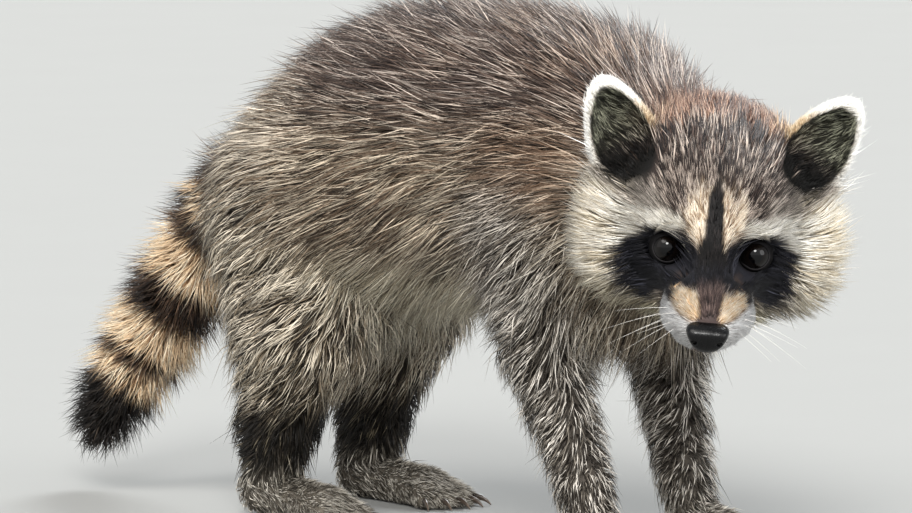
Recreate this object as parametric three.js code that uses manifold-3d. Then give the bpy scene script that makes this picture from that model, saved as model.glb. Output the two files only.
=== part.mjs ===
// A young raccoon standing with its head lowered and turned to its right, modelled out to the tips
// of its coat. Sizes are in mm: +Z is up, the trunk faces -Y and +X is the animal's left.
import * as THREE from "three";
import { mergeVertices } from "three/addons/utils/BufferGeometryUtils.js";
import Module from "manifold-3d";

const wasm = await Module();
wasm.setup();

// ---- Driving dimensions ----
const GAP = 0.3; // the thin cut between neighbouring pieces
const CLEARANCE = 0.35; // how far a neighbour is grown before it is cut away
const LIMB_PLANE = 24; // from the midline: outside it the flank belongs to the limbs

// The head, in its own frame: the origin is midway between the eyes and the muzzle points to -Y.
const HEAD_AT = [-45.8, -186.3, 130.4];
const HEAD_TURN = { yaw: -43, pitch: 9.5, roll: 5 }; // degrees
const EYE = { side: 16.9, back: 4, up: 0, radius: 6.9, opening: 5.4 };
const NOSE = { at: [0, -44.5, -22.6], radii: [8.7, 6.5, 6.4] };
const EAR = {
  root: { left: [33, 33, 25], right: [33, 33, 23.5] },
  tip: { left: [47, 36, 46.5], right: [44, 36, 46.6] },
  radii: [13.5, 8, 22],
  cup: { radii: [10.4, 8, 18], forward: 7, down: 1 },
  narrowing: 0.016, // how much narrower the ear is for each mm towards its tip
};
const SKULL_BLEND = 12;

// Ellipsoids of the trunk, from rump to chest: centre, radii.
const TRUNK = [
  { at: [0, 80, 131], radii: [47, 41, 51] },
  { at: [0, 42, 150], radii: [56, 53, 58] },
  { at: [0, -10, 155], radii: [59, 60, 61] },
  { at: [0, -62, 150], radii: [49, 46, 57] },
  { at: [0, -88, 124], radii: [37, 34, 40] },
];
const TRUNK_BLEND = 34;

// Limbs, neck and tail are chains of balls: [x, y, z, radius]. The right limbs are mirrored.
const NECK = [[0, -74, 154, 46], [-8, -138, 142, 38]];
const FORELEG = {
  right: [[34, -80, 126, 28], [34, -79, 84, 18], [29, -97, 30, 10.5], [29, -103, 12, 8]],
  left: [[34, -80, 126, 28], [34, -77, 84, 18], [29, -93, 30, 10.5], [29, -99, 12, 8]],
};
const HINDLEG = {
  right: [[30, 76, 122, 37], [37, 60, 86, 32], [35, 81, 36, 14.5], [35, 88, 12, 10]],
  left: [[30, 80, 122, 36], [37, 82, 86, 28], [35, 101, 36, 14], [35, 108, 12, 10]],
};
const TAIL = [
  [0, 112, 140, 22.5], [-1, 142, 128, 22.5], [-4, 160, 105, 23], [-11, 176, 80, 22.5],
  [-18, 188, 58, 20.5], [-26, 197, 38, 17], [-30, 201, 27, 14],
];
const TAIL_CUTS = [0.36, 0.7]; // where the tail is parted, as shares of its length
const LEFT_FOREFOOT_BACK = 4; // how far the left forefoot stands behind the right one
const LEFT_HINDFOOT_BACK = 20; // how far the left hindfoot stands behind the right one

const ELBOW_HEIGHT = 76;
const KNEE_HEIGHT = 64;
const WRIST_HEIGHT = 24;
const ANKLE_HEIGHT = 26;

// Feet: the sole is a chain, and the toes fan out from its front end.
const FOREFOOT = {
  sole: [[29, -103, 9, 9.5], [29.5, -117, 6.5, 8.6]],
  spread: [-0.8, -0.42, 0, 0.42, 0.8], // where each toe starts, as a share of half the sole's width
  fan: [-36, -16, 0, 15, 34], // degrees
  lengths: [12.5, 16.5, 18, 16.5, 13.5],
  halfWidth: 9.5,
  toe: { root: 3.9, knuckle: 3.5, tip: 2.9 },
};
const HINDFOOT = {
  sole: [[35, 88, 10, 10], [35.5, 62, 6.8, 8.8], [36, 50, 6, 8.4]],
  spread: [-0.8, -0.42, 0, 0.42, 0.8],
  fan: [-28, -12, 0, 11, 25],
  lengths: [11, 14.5, 15.5, 14.5, 12],
  halfWidth: 9.5,
  toe: { root: 4.1, knuckle: 3.7, tip: 3.1 },
};
const TOE_PRESS = 0.6; // how much of each toe's end is flattened on the ground
const CLAW = { length: 7, root: 1.5, tip: 0.45, bury: 2.2 };

// How finely each skin is meshed: rings along its axis, sides round it, rings in each end cap.
const HEAD_MESH = { rings: 12, sides: 18, caps: 4 };
const TRUNK_MESH = { rings: 10, sides: 18, caps: 4 };
const NECK_MESH = { rings: 4, sides: 14, caps: 2 };
const LEG_MESH = { rings: 10, sides: 10, caps: 3 };
const TAIL_MESH = { rings: 13, sides: 12, caps: 3 };
const SOLE_MESH = { rings: 4, sides: 8, caps: 2, reach: 40 };
const TOE_MESH = { rings: 3, sides: 5, caps: 1, reach: 12 };
const CLAW_MESH = { rings: 3, sides: 4, caps: 1, reach: 6 };
const EAR_MESH = { rings: 3, sides: 12, caps: 3 };
const CUP_MESH = { rings: 2, sides: 10, caps: 3 };
const LID_MESH = { rings: 2, sides: 10, caps: 2 };
const EYE_SEGMENTS = [10, 7];
const NOSE_SEGMENTS = [12, 7];

// ---- Coat colours ----
const COAT = {
  back: { color: "#6a5a4a", roughness: 0.95 },
  face: { color: "#8d8173", roughness: 0.95 },
  nape: { color: "#74604e", roughness: 0.95 },
  limb: { color: "#4f453b", roughness: 0.95 },
  foot: { color: "#30271f", roughness: 0.9 },
  ear: { color: "#bdb09c", roughness: 0.95 },
  ring: { color: "#8a6f50", roughness: 0.95 },
  tailTip: { color: "#2b221b", roughness: 0.95 },
  claw: { color: "#2a2420", roughness: 0.4 },
  nosePad: { color: "#121114", roughness: 0.3 },
  eye: { color: "#0c0806", roughness: 0.05 },
};

// ---- Distance functions: below zero inside the shape ----
const vector = (p) => new THREE.Vector3(p[0], p[1], p[2]);

// It may stand on axes of its own, and get narrower along the third of them.
function ellipsoid(at, radii, axes = null, narrowing = 0) {
  const centre = vector(at);
  const q = new THREE.Vector3();
  const r = vector(radii);
  const rr = r.clone().multiply(r);
  return (p) => {
    q.copy(p).sub(centre);
    if (axes) q.set(q.dot(axes[0]), q.dot(axes[1]), q.dot(axes[2]));
    q.x *= 1 + narrowing * q.z;
    const near = Math.hypot(q.x / r.x, q.y / r.y, q.z / r.z);
    const steep = Math.hypot(q.x / rr.x, q.y / rr.y, q.z / rr.z);
    return steep < 1e-9 ? -Math.min(r.x, r.y, r.z) : (near * (near - 1)) / steep;
  };
}

function roundCone(from, to) {
  const a = vector(from);
  const along = vector(to).sub(a);
  const lengthSq = along.lengthSq();
  const q = new THREE.Vector3();
  return (p) => {
    q.copy(p).sub(a);
    const h = THREE.MathUtils.clamp(q.dot(along) / lengthSq, 0, 1);
    return q.addScaledVector(along, -h).length() - THREE.MathUtils.lerp(from[3], to[3], h);
  };
}

// The soft union of shapes: k is how far their meeting is rounded.
function blend(k, ...shapes) {
  return (p) =>
    shapes.reduce((sum, shape) => {
      const d = shape(p);
      const overlap = Math.max(k - Math.abs(sum - d), 0);
      return Math.min(sum, d) - (overlap * overlap) / (4 * k);
    }, 1e6);
}

const chain = (k, balls) => blend(k, ...balls.slice(1).map((ball, i) => roundCone(balls[i], ball)));
const grown = (shape, by) => (p) => shape(p) - by;

// ---- Skins: a closed mesh where rays from an axis meet a shape ----
function surfacePoint(shape, from, direction, reach) {
  const probe = new THREE.Vector3();
  let inside = 0;
  let outside = reach;
  for (let step = 0; step < 26; step += 1) {
    const middle = (inside + outside) / 2;
    const within = shape(probe.copy(from).addScaledVector(direction, middle)) < 0;
    if (within) inside = middle;
    else outside = middle;
  }
  return probe.copy(from).addScaledVector(direction, inside);
}

// Rings of rays stand on the axis, and rings that lean over more and more close its two ends.
function skin(shape, axisPoints, { rings, sides, caps, reach = 140 }) {
  const axis = new THREE.CatmullRomCurve3(axisPoints.map(vector));
  const frames = axis.computeFrenetFrames(rings - 1, false);
  const stations = [];
  for (let i = 1; i < caps; i += 1) stations.push({ ring: 0, lean: (i / caps - 1) * (Math.PI / 2) });
  for (let i = 0; i < rings; i += 1) stations.push({ ring: i, lean: 0 });
  for (let i = 1; i < caps; i += 1) stations.push({ ring: rings - 1, lean: (i / caps) * (Math.PI / 2) });

  const positions = [];
  const pole = (ring, sign) => {
    const from = axis.getPointAt(ring / (rings - 1));
    const direction = frames.tangents[ring].clone().multiplyScalar(sign);
    positions.push(...surfacePoint(shape, from, direction, reach).toArray());
  };
  pole(0, -1);
  for (const { ring, lean } of stations) {
    const from = axis.getPointAt(ring / (rings - 1));
    for (let side = 0; side < sides; side += 1) {
      const angle = (side / sides) * Math.PI * 2;
      const direction = new THREE.Vector3()
        .addScaledVector(frames.normals[ring], Math.cos(angle) * Math.cos(lean))
        .addScaledVector(frames.binormals[ring], Math.sin(angle) * Math.cos(lean))
        .addScaledVector(frames.tangents[ring], Math.sin(lean));
      positions.push(...surfacePoint(shape, from, direction, reach).toArray());
    }
  }
  pole(rings - 1, 1);

  const at = (row, side) => 1 + row * sides + (side % sides);
  const last = positions.length / 3 - 1;
  const faces = [];
  for (let side = 0; side < sides; side += 1) {
    faces.push(0, at(0, side + 1), at(0, side));
    for (let row = 0; row < stations.length - 1; row += 1) {
      faces.push(at(row, side), at(row, side + 1), at(row + 1, side + 1));
      faces.push(at(row, side), at(row + 1, side + 1), at(row + 1, side));
    }
    faces.push(last, at(stations.length - 1, side), at(stations.length - 1, side + 1));
  }
  const geometry = new THREE.BufferGeometry();
  geometry.setAttribute("position", new THREE.Float32BufferAttribute(positions, 3));
  geometry.setIndex(faces);
  return geometry;
}

// ---- Solids: joined and cut with manifold-3d ----
function solid(geometry) {
  const bare = geometry.clone();
  bare.deleteAttribute("normal");
  bare.deleteAttribute("uv");
  const merged = mergeVertices(bare, 1e-4);
  return new wasm.Manifold(
    new wasm.Mesh({
      numProp: 3,
      vertProperties: new Float32Array(merged.attributes.position.array),
      triVerts: new Uint32Array(merged.index.array),
    }),
  );
}

function geometryOf(body) {
  const mesh = body.getMesh();
  const geometry = new THREE.BufferGeometry();
  geometry.setAttribute("position", new THREE.BufferAttribute(mesh.vertProperties, 3));
  geometry.setIndex(new THREE.BufferAttribute(mesh.triVerts, 1));
  geometry.computeVertexNormals();
  return geometry;
}

const centres = (balls) => balls.map((ball) => ball.slice(0, 3));
const above = (body, height) => body.trimByPlane([0, 0, 1], height);
const below = (body, height) => body.trimByPlane([0, 0, -1], -height);
const outward = (body, side, distance) => body.trimByPlane([side, 0, 0], distance);
const inward = (body, side, distance) => body.trimByPlane([-side, 0, 0], -distance);

// The largest of the pieces that a cut leaves, without its slivers.
function largest(body) {
  const pieces = body.decompose();
  return pieces.reduce((best, piece) => (piece.volume() > best.volume() ? piece : best), pieces[0]);
}

// A body, and the slightly larger one that is cut from its neighbours.
function bodyAndCutter(shape, axisPoints, counts) {
  return {
    body: solid(skin(shape, axisPoints, counts)),
    cutter: solid(skin(grown(shape, CLEARANCE), axisPoints, counts)),
  };
}

// ---- Head, in its own frame ----
const turned = (x, y, z, degrees) =>
  new THREE.Quaternion().setFromAxisAngle(new THREE.Vector3(x, y, z), THREE.MathUtils.degToRad(degrees));
const headTurn = turned(0, 0, 1, HEAD_TURN.yaw)
  .multiply(turned(1, 0, 0, HEAD_TURN.pitch))
  .multiply(turned(0, 1, 0, HEAD_TURN.roll));
const headMatrix = new THREE.Matrix4().compose(vector(HEAD_AT), headTurn, new THREE.Vector3(1, 1, 1));

const headShape = blend(
  SKULL_BLEND,
  ellipsoid([0, 40, 12], [40, 44, 37]), // the braincase and its fur
  ellipsoid([0, 14, 14], [31, 26, 24]), // the brow
  ellipsoid([0, 30, -20], [31, 32, 19]), // the jaw and throat
  roundCone([0, 4, -8, 21], [0, -37, -19, 8.5]), // the muzzle
  ellipsoid([34.5, 30, -4], [21.5, 24, 29.5]), // the ruff of each cheek
  ellipsoid([8.5, -26, -19.5], [9.5, 13, 8]), // the whisker pads
  ellipsoid([-34.5, 30, -4], [21.5, 24, 29.5]),
  ellipsoid([-8.5, -26, -19.5], [9.5, 13, 8]),
  ellipsoid([0, -18, -27], [8, 13, 4.5]), // the chin
);
const HEAD_AXIS = [[0, 46, 8], [0, 22, 4], [0, -4, -7], [0, -32, -18]];

function eyeballAt(side) {
  const eyeball = new THREE.SphereGeometry(EYE.radius, ...EYE_SEGMENTS);
  return eyeball.translate(side * EYE.side, EYE.back, EYE.up);
}

// The opening between the lids, in front of the eyeball and a little outwards.
function lidOpening(side) {
  const from = [side * EYE.side, EYE.back, EYE.up, EYE.opening];
  const to = [side * (EYE.side + 4), EYE.back - 14, EYE.up + 2, EYE.opening + 1.5];
  return solid(skin(roundCone(from, to), [from.slice(0, 3), to.slice(0, 3)], LID_MESH));
}

function noseAround(extra) {
  const radii = NOSE.radii.map((radius) => radius + extra);
  return new THREE.SphereGeometry(1, ...NOSE_SEGMENTS).scale(...radii).translate(...NOSE.at);
}

function headBody() {
  let body = solid(skin(headShape, HEAD_AXIS, HEAD_MESH));
  for (const side of [1, -1]) {
    const socket = new THREE.SphereGeometry(EYE.radius + CLEARANCE, ...EYE_SEGMENTS);
    socket.translate(side * EYE.side, EYE.back, EYE.up);
    body = body.subtract(solid(socket)).subtract(lidOpening(side));
  }
  return body.subtract(solid(noseAround(CLEARANCE)));
}

// A cupped leaf that opens forwards.
function earBody(word, side) {
  const root = vector(EAR.root[word]);
  const tip = vector(EAR.tip[word]);
  root.x *= side;
  tip.x *= side;
  const upward = tip.clone().sub(root).normalize();
  const forward = new THREE.Vector3(0, -1, 0).addScaledVector(upward, upward.y).normalize();
  const across = new THREE.Vector3().crossVectors(upward, forward);
  const axes = [across, forward, upward];
  const middle = root.clone().add(tip).multiplyScalar(0.5);
  const cupMiddle = middle.clone();
  cupMiddle.addScaledVector(forward, EAR.cup.forward).addScaledVector(upward, -EAR.cup.down);
  const leaf = ellipsoid(middle.toArray(), EAR.radii, axes, EAR.narrowing);
  const hollow = ellipsoid(cupMiddle.toArray(), EAR.cup.radii, axes, EAR.narrowing);
  const axisOf = (centre) => [-6, 6].map((rise) => centre.clone().addScaledVector(upward, rise).toArray());
  return solid(skin(leaf, axisOf(middle), EAR_MESH))
    .subtract(solid(skin(hollow, axisOf(cupMiddle), CUP_MESH)))
    .subtract(solid(skin(grown(headShape, CLEARANCE), HEAD_AXIS, HEAD_MESH)));
}

// ---- Limbs ----
const mirrored = (point, side) => [side * point[0], ...point.slice(1)];
const shifted = (point, back) => [point[0], point[1] + back, ...point.slice(2)];

// One toe and the claw set in its end.
function toeAndClaw(foot, side, index, back) {
  const front = shifted(mirrored(foot.sole.at(-1), side), back);
  const turn = THREE.MathUtils.degToRad(foot.fan[index]);
  const direction = new THREE.Vector3(Math.sin(turn) * side, -Math.cos(turn), 0);
  const start = vector(front).add(new THREE.Vector3(foot.spread[index] * foot.halfWidth * side, -3, 0));
  const along = (share, z) => {
    const point = start.clone().addScaledVector(direction, foot.lengths[index] * share);
    return [point.x, point.y, z];
  };
  const { root, knuckle, tip } = foot.toe;
  const balls = [
    [...along(-0.1, root + 1.6), root],
    [...along(0.5, knuckle + 1.9), knuckle],
    [...along(1, tip - TOE_PRESS), tip],
  ];
  const end = vector(balls[2]);
  const clawPoint = (reach, z) => [end.x + direction.x * reach, end.y + direction.y * reach, z];
  const clawRoot = [...clawPoint(tip - CLAW.bury, tip + 0.6), CLAW.root];
  const clawMiddle = [...clawPoint(tip + CLAW.length * 0.4, tip), CLAW.root * 0.75];
  const clawTip = [...clawPoint(tip + CLAW.length * 0.8, CLAW.tip + 0.5), CLAW.tip];
  const clawShape = chain(0.4, [clawRoot, clawMiddle, clawTip]);
  const clawAxis = centres([clawRoot, clawMiddle, clawTip]);
  return {
    toe: solid(skin(chain(1.5, balls), centres(balls), TOE_MESH)),
    claw: bodyAndCutter(clawShape, clawAxis, CLAW_MESH),
  };
}

// The foot is the end of the leg, its sole and five toes, with flats under all that bear on the ground.
function footBodies(legEnd, foot, side, back) {
  const sole = foot.sole.map((ball) => shifted(mirrored(ball, side), back));
  const ball = sole.at(-1);
  const pad = ellipsoid(ball, [foot.halfWidth + 2.5, 12, ball[3]]);
  const soleShape = blend(5, chain(3, sole), pad);
  const toes = foot.fan.map((_, index) => toeAndClaw(foot, side, index, back));
  let body = legEnd.add(solid(skin(soleShape, centres(sole), SOLE_MESH)));
  for (const { toe } of toes) body = body.add(toe);
  for (const { claw } of toes) body = body.subtract(claw.cutter);
  return { foot: above(body, 0), claws: toes.map(({ claw }) => above(claw.body, 0)) };
}

// A leg from hip or shoulder to toes, parted at two heights.
function legBodies({ balls, blendBy, foot, side, back, jointHeight, footHeight }) {
  const placed = balls.map((ball) => mirrored(ball, side));
  const { body, cutter } = bodyAndCutter(chain(blendBy, placed), centres(placed), LEG_MESH);
  const legEnd = below(body, footHeight - GAP / 2);
  return {
    upper: above(body, jointHeight + GAP / 2),
    lower: above(below(body, jointHeight - GAP / 2), footHeight + GAP / 2),
    cutter,
    ...footBodies(legEnd, foot, side, back),
  };
}

// ---- Tail, parted across its axis ----
function tailBodies() {
  const { body } = bodyAndCutter(chain(3, TAIL), centres(TAIL), TAIL_MESH);
  const axis = new THREE.CatmullRomCurve3(centres(TAIL).map(vector));
  const lengths = [];
  let rest = body;
  for (const share of TAIL_CUTS) {
    const normal = axis.getTangentAt(share);
    const offset = normal.dot(axis.getPointAt(share));
    lengths.push(rest.trimByPlane(normal.clone().negate().toArray(), -offset + GAP / 2));
    rest = rest.trimByPlane(normal.toArray(), offset + GAP / 2);
  }
  return [...lengths, rest];
}

// ---- Assembly ----
const SIDES = [{ word: "left", side: 1 }, { word: "right", side: -1 }];
const raccoon = new THREE.Group();
const headGroup = new THREE.Group();
headGroup.applyMatrix4(headMatrix);
raccoon.add(headGroup);

function addPiece(name, body, coat, parent = raccoon) {
  const material = new THREE.MeshStandardMaterial({ metalness: 0, ...coat });
  const mesh = new THREE.Mesh(geometryOf(body), material);
  mesh.name = name;
  parent.add(mesh);
}

const headCutter = solid(
  skin(grown(headShape, CLEARANCE), HEAD_AXIS, HEAD_MESH).applyMatrix4(headMatrix),
);
const trunk = bodyAndCutter(
  blend(TRUNK_BLEND, ...TRUNK.map(({ at, radii }) => ellipsoid(at, radii))),
  [[0, 84, 132], [0, 30, 146], [0, -30, 148], [0, -84, 136]],
  TRUNK_MESH,
);

const legs = [];
for (const { word, side } of SIDES) {
  const isLeft = side > 0;
  legs.push({
    name: "foreleg_" + word,
    footName: "forefoot_" + word,
    side,
    ...legBodies({
      balls: FORELEG[word], blendBy: 6, foot: FOREFOOT, side, back: isLeft ? LEFT_FOREFOOT_BACK : 0,
      jointHeight: ELBOW_HEIGHT, footHeight: WRIST_HEIGHT,
    }),
  });
  legs.push({
    name: "hindleg_" + word,
    footName: "hindfoot_" + word,
    side,
    ...legBodies({
      balls: HINDLEG[word], blendBy: 10, foot: HINDFOOT, side, back: isLeft ? LEFT_HINDFOOT_BACK : 0,
      jointHeight: KNEE_HEIGHT, footHeight: ANKLE_HEIGHT,
    }),
  });
}

let trunkBody = trunk.body.subtract(headCutter);
let neckBody = solid(skin(chain(1, NECK), centres(NECK), NECK_MESH))
  .subtract(trunk.cutter)
  .subtract(headCutter);
for (const leg of legs) {
  trunkBody = trunkBody.subtract(outward(leg.cutter, leg.side, LIMB_PLANE - GAP));
  neckBody = neckBody.subtract(leg.cutter);
  const upper = leg.upper.subtract(inward(trunk.cutter, leg.side, LIMB_PLANE));
  addPiece(leg.name + "_upper", largest(upper), COAT.back);
  addPiece(leg.name + "_lower", leg.lower, COAT.limb);
  addPiece(leg.footName, leg.foot, COAT.foot);
  leg.claws.forEach((claw, i) => addPiece(leg.footName + "_claw_" + (i + 1), claw, COAT.claw));
}
addPiece("trunk", largest(trunkBody), COAT.back);
addPiece("neck", largest(neckBody), COAT.nape);
addPiece("head", headBody(), COAT.face, headGroup);
for (const { word, side } of SIDES) {
  addPiece("ear_" + word, earBody(word, side), COAT.ear, headGroup);
  addPiece("eye_" + word, solid(eyeballAt(side)), COAT.eye, headGroup);
}
addPiece("nose", solid(noseAround(0)), COAT.nosePad, headGroup);
const [tailBase, tailMiddle, tailTip] = tailBodies();
addPiece("tail_base", largest(tailBase.subtract(trunk.cutter)), COAT.back);
addPiece("tail_middle", tailMiddle, COAT.ring);
addPiece("tail_tip", tailTip, COAT.tailTip);

// The model stands on z = 0 with the middle of its length and width over the origin.
raccoon.updateMatrixWorld(true);
const box = new THREE.Box3().setFromObject(raccoon, true);
const middle = box.getCenter(new THREE.Vector3());
raccoon.position.set(-middle.x, -middle.y, -box.min.z);
raccoon.updateMatrixWorld(true);

export default raccoon;
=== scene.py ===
"""A young raccoon, life-size: one skin under a coat of solid tufts, with eyes, lids, nose, claws, whiskers.

Shapes are worked out in mm in the animal's own frame (+Z up, the trunk faces -Y, its left is +X and the
ground is z = 0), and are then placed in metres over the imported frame.
"""

from itertools import product
from math import cos, pi, radians, sin

import bpy
import numpy as np
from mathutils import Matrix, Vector


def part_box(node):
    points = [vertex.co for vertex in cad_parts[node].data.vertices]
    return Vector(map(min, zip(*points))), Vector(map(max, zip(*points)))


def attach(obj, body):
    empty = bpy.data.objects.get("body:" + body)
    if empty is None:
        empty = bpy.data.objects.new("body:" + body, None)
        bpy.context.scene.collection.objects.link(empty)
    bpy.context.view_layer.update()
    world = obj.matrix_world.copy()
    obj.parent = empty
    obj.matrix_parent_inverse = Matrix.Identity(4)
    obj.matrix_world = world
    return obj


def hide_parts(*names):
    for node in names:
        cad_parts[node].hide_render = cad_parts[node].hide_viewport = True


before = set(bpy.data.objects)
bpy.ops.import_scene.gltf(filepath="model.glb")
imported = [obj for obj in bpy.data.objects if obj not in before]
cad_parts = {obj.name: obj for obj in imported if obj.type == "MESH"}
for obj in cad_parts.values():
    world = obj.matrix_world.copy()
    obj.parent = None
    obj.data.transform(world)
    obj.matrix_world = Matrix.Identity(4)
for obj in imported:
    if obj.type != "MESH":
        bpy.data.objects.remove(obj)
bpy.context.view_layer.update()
MM = 0.001
FAR = 40.0  # mm, the distance given beyond the reach of every part

# ------ body plan, mm
HEAD_AT = np.array([-45.8, -186.3, 130.4])  # midway between the eyes
HEAD_YAW, HEAD_PITCH, HEAD_ROLL = -43, 9.5, 5
EYE_NODE_AT = np.array([16.9, 4.0, 0.0])  # the left eye's solid, in the head's frame
EYE_AT = np.array([16.9, 2.8, -1.5])  # the visible left eyeball
EYE_RADIUS = 6.5
EYE_LINER = 9.0  # how far the black round an eye reaches from the eye's middle
NOSE_AT = np.array([0.0, -44.5, -22.6])
NOSE_RADII = np.array([8.7, 6.5, 6.4])
EAR_ENDS = {1: ((33, 33, 25.0), (47, 36, 46.5)), -1: ((33, 33, 23.5), (44, 36, 46.6))}  # left and right
EAR_NARROWING = 0.016  # how much narrower an ear is for each mm towards its tip
EAR_LEAF, EAR_COAT = (12.6, 6.5, 20.8), (13.5, 8, 22)  # radii of its flesh and of the hair's outline
EAR_CUP, EAR_CUP_FORWARD, EAR_CUP_DOWN = (11.4, 8.2, 19.2), 5.2, 0.5

TRUNK = [
    ((0, 80, 131), (47, 41, 51)),
    ((0, 42, 150), (56, 53, 58)),
    ((0, -10, 155), (59, 60, 61)),
    ((0, -62, 150), (49, 46, 57)),
    ((0, -88, 124), (37, 34, 40)),
]
NECK = [(0, -74, 154, 46), (-8, -138, 142, 38)]
LEGS = {  # balls of each leg, given as on the left side
    "foreleg_right": [(34, -80, 126, 28), (34, -79, 84, 18), (29, -97, 30, 10.5), (29, -103, 12, 8)],
    "foreleg_left": [(34, -80, 126, 28), (34, -77, 84, 18), (29, -93, 30, 10.5), (29, -99, 12, 8)],
    "hindleg_right": [(30, 76, 122, 37), (37, 60, 86, 32), (35, 81, 36, 14.5), (35, 88, 12, 10)],
    "hindleg_left": [(30, 80, 122, 36), (37, 82, 86, 28), (35, 101, 36, 14), (35, 108, 12, 10)],
}
TAIL = [
    (0, 112, 140, 22.5), (-1, 142, 128, 22.5), (-4, 160, 105, 23), (-11, 176, 80, 22.5),
    (-18, 188, 58, 20.5), (-26, 197, 38, 17), (-30, 201, 27, 14),
]
FOOT_BACK = {"foreleg_right": 0, "foreleg_left": 4, "hindleg_right": 0, "hindleg_left": 20}  # mm set back
TOE_SPREAD, HALF_FOOT = (-0.8, -0.42, 0, 0.42, 0.8), 9.5
FOREFOOT = dict(
    sole=[(29, -103, 9, 9.5), (29.5, -117, 6.5, 8.6)],
    fan=(-36, -16, 0, 15, 34), lengths=(12.5, 16.5, 18, 16.5, 13.5), root=3.9, knuckle=3.5, tip=2.9,
)
HINDFOOT = dict(
    sole=[(35, 88, 10, 10), (35.5, 62, 6.8, 8.8), (36, 50, 6, 8.4)],
    fan=(-28, -12, 0, 11, 25), lengths=(11, 14.5, 15.5, 14.5, 12), root=4.1, knuckle=3.7, tip=3.1,
)
CLAW_LENGTH, CLAW_ROOT, CLAW_TIP, CLAW_BURY = 7.0, 1.5, 0.35, 2.2


# ------ vectors and noise
def size(v):
    return np.linalg.norm(v, axis=-1)


def unit(v):
    return v / np.maximum(np.linalg.norm(v, axis=-1, keepdims=True), 1e-9)


def vectors(*columns):
    """Columns, or single numbers, side by side."""
    return np.stack(np.broadcast_arrays(*columns), -1)


def dot(a, b):
    return np.einsum("...i,...i->...", a, b)


def laid_flat(ways, normals):
    """Unit directions turned to lie along a surface with these normals."""
    return unit(ways - normals * dot(ways, normals)[:, None])


def rise(x, low, high):
    """0 below low, 1 above high and a smooth step between."""
    t = np.clip((x - low) / (high - low), 0, 1)
    return t * t * (3 - 2 * t)


def turn(yaw, pitch, roll):
    """Rotation about Z, then X, then Y of the turned frame, in degrees."""
    a, b, c = radians(yaw), radians(pitch), radians(roll)
    about_z = np.array([[cos(a), -sin(a), 0], [sin(a), cos(a), 0], [0, 0, 1]])
    about_x = np.array([[1, 0, 0], [0, cos(b), -sin(b)], [0, sin(b), cos(b)]])
    about_y = np.array([[cos(c), 0, sin(c)], [0, 1, 0], [-sin(c), 0, cos(c)]])
    return about_z @ about_x @ about_y


HEAD_TURN = turn(HEAD_YAW, HEAD_PITCH, HEAD_ROLL)


def to_head(points):
    return (points - HEAD_AT) @ HEAD_TURN


def from_head(points):
    return HEAD_AT + np.asarray(points, float) @ HEAD_TURN.T


def from_eye(q, side):
    """From an eye's middle to points in the head's frame."""
    return q - EYE_AT * (side, 1, 1)


def noise(points, size, seed):
    """Smooth value noise from -1 to 1, with features of about size mm."""
    q = points / size + 31.7 * seed
    cell = np.floor(q).astype(np.int64)
    part = q - cell
    part = part * part * (3 - 2 * part)
    total = 0.0
    for corner in product((0, 1), repeat=3):
        c = cell + np.array(corner)
        mixed = c[..., 0] * 73856093 ^ c[..., 1] * 19349663 ^ c[..., 2] * 83492791 ^ (seed * 7919 + 13)
        mixed = mixed * 1274126177 & 0xFFFFFFFF
        mixed = (mixed ^ mixed >> 15) * 2246822519 & 0xFFFFFFFF
        weight = np.prod(np.where(np.array(corner) == 1, part, 1 - part), axis=-1)
        total = total + weight * ((mixed >> 8 & 0xFFFF) / 65535.0)
    return total * 2 - 1


# ------ distances: below zero inside a shape
def ellipsoid(p, at, radii, axes=None, narrowing=0.0):
    q = p - np.asarray(at, float)
    if axes is not None:
        q = q @ axes
    if narrowing:
        q[..., 0] *= 1 + narrowing * q[..., 2]
    r = np.asarray(radii, float)
    near, steep = size(q / r), size(q / (r * r))
    return near * (near - 1) / np.maximum(steep, 1e-6)


def cone(p, a, b):
    start = np.asarray(a[:3], float)
    along = np.asarray(b[:3], float) - start
    q = p - start
    h = np.clip(q @ along / (along @ along), 0, 1)
    return size(q - h[..., None] * along) - (a[3] + h * (b[3] - a[3]))


def soft_min(a, b, k):
    overlap = np.maximum(k - np.abs(a - b), 0) / k
    return np.minimum(a, b) - overlap * overlap * k / 4


def soft_max(a, b, k):
    return -soft_min(-a, -b, k)


def soft_union(distances, k):
    total = distances[0]
    for d in distances[1:]:
        total = soft_min(total, d, k)
    return total


def curve(start, bend, end, t):
    """Points on a quadratic curve at shares t of the way along it."""
    return (1 - t) ** 2 * start + 2 * t * (1 - t) * bend + t**2 * end


def chain(p, balls, k):
    return soft_union([cone(p, a, b) for a, b in zip(balls, balls[1:])], k)


# ------ the parts of the animal
def on_side(balls, side, back=0):
    """Balls given as on the left, put on a side and set back."""
    return [(side * x, y + back, z, r) for x, y, z, r in balls]


def toe_balls(foot, side, back):
    """For each toe: its balls, and the direction it points in."""
    front = on_side(foot["sole"][-1:], side, back)[0]
    radii = (foot["root"], foot["knuckle"], foot["tip"])
    toes = []
    for spread, fan, length in zip(TOE_SPREAD, foot["fan"], foot["lengths"]):
        way = np.array([sin(radians(fan)) * side, -cos(radians(fan)), 0])
        start = np.array([front[0] + spread * HALF_FOOT * side, front[1] - 3, 0])
        balls = [(*(start + way * length * share)[:2], r + raised, r)
                 for share, raised, r in zip((-0.1, 0.5, 1), (1.6, 1.9, -0.6), radii)]
        toes.append((balls, way))
    return toes


def gaze(side):
    """The way an eye looks out of its lids, in the head's frame."""
    return unit(np.array([side * 0.02, -1, 0.1]))


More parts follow.
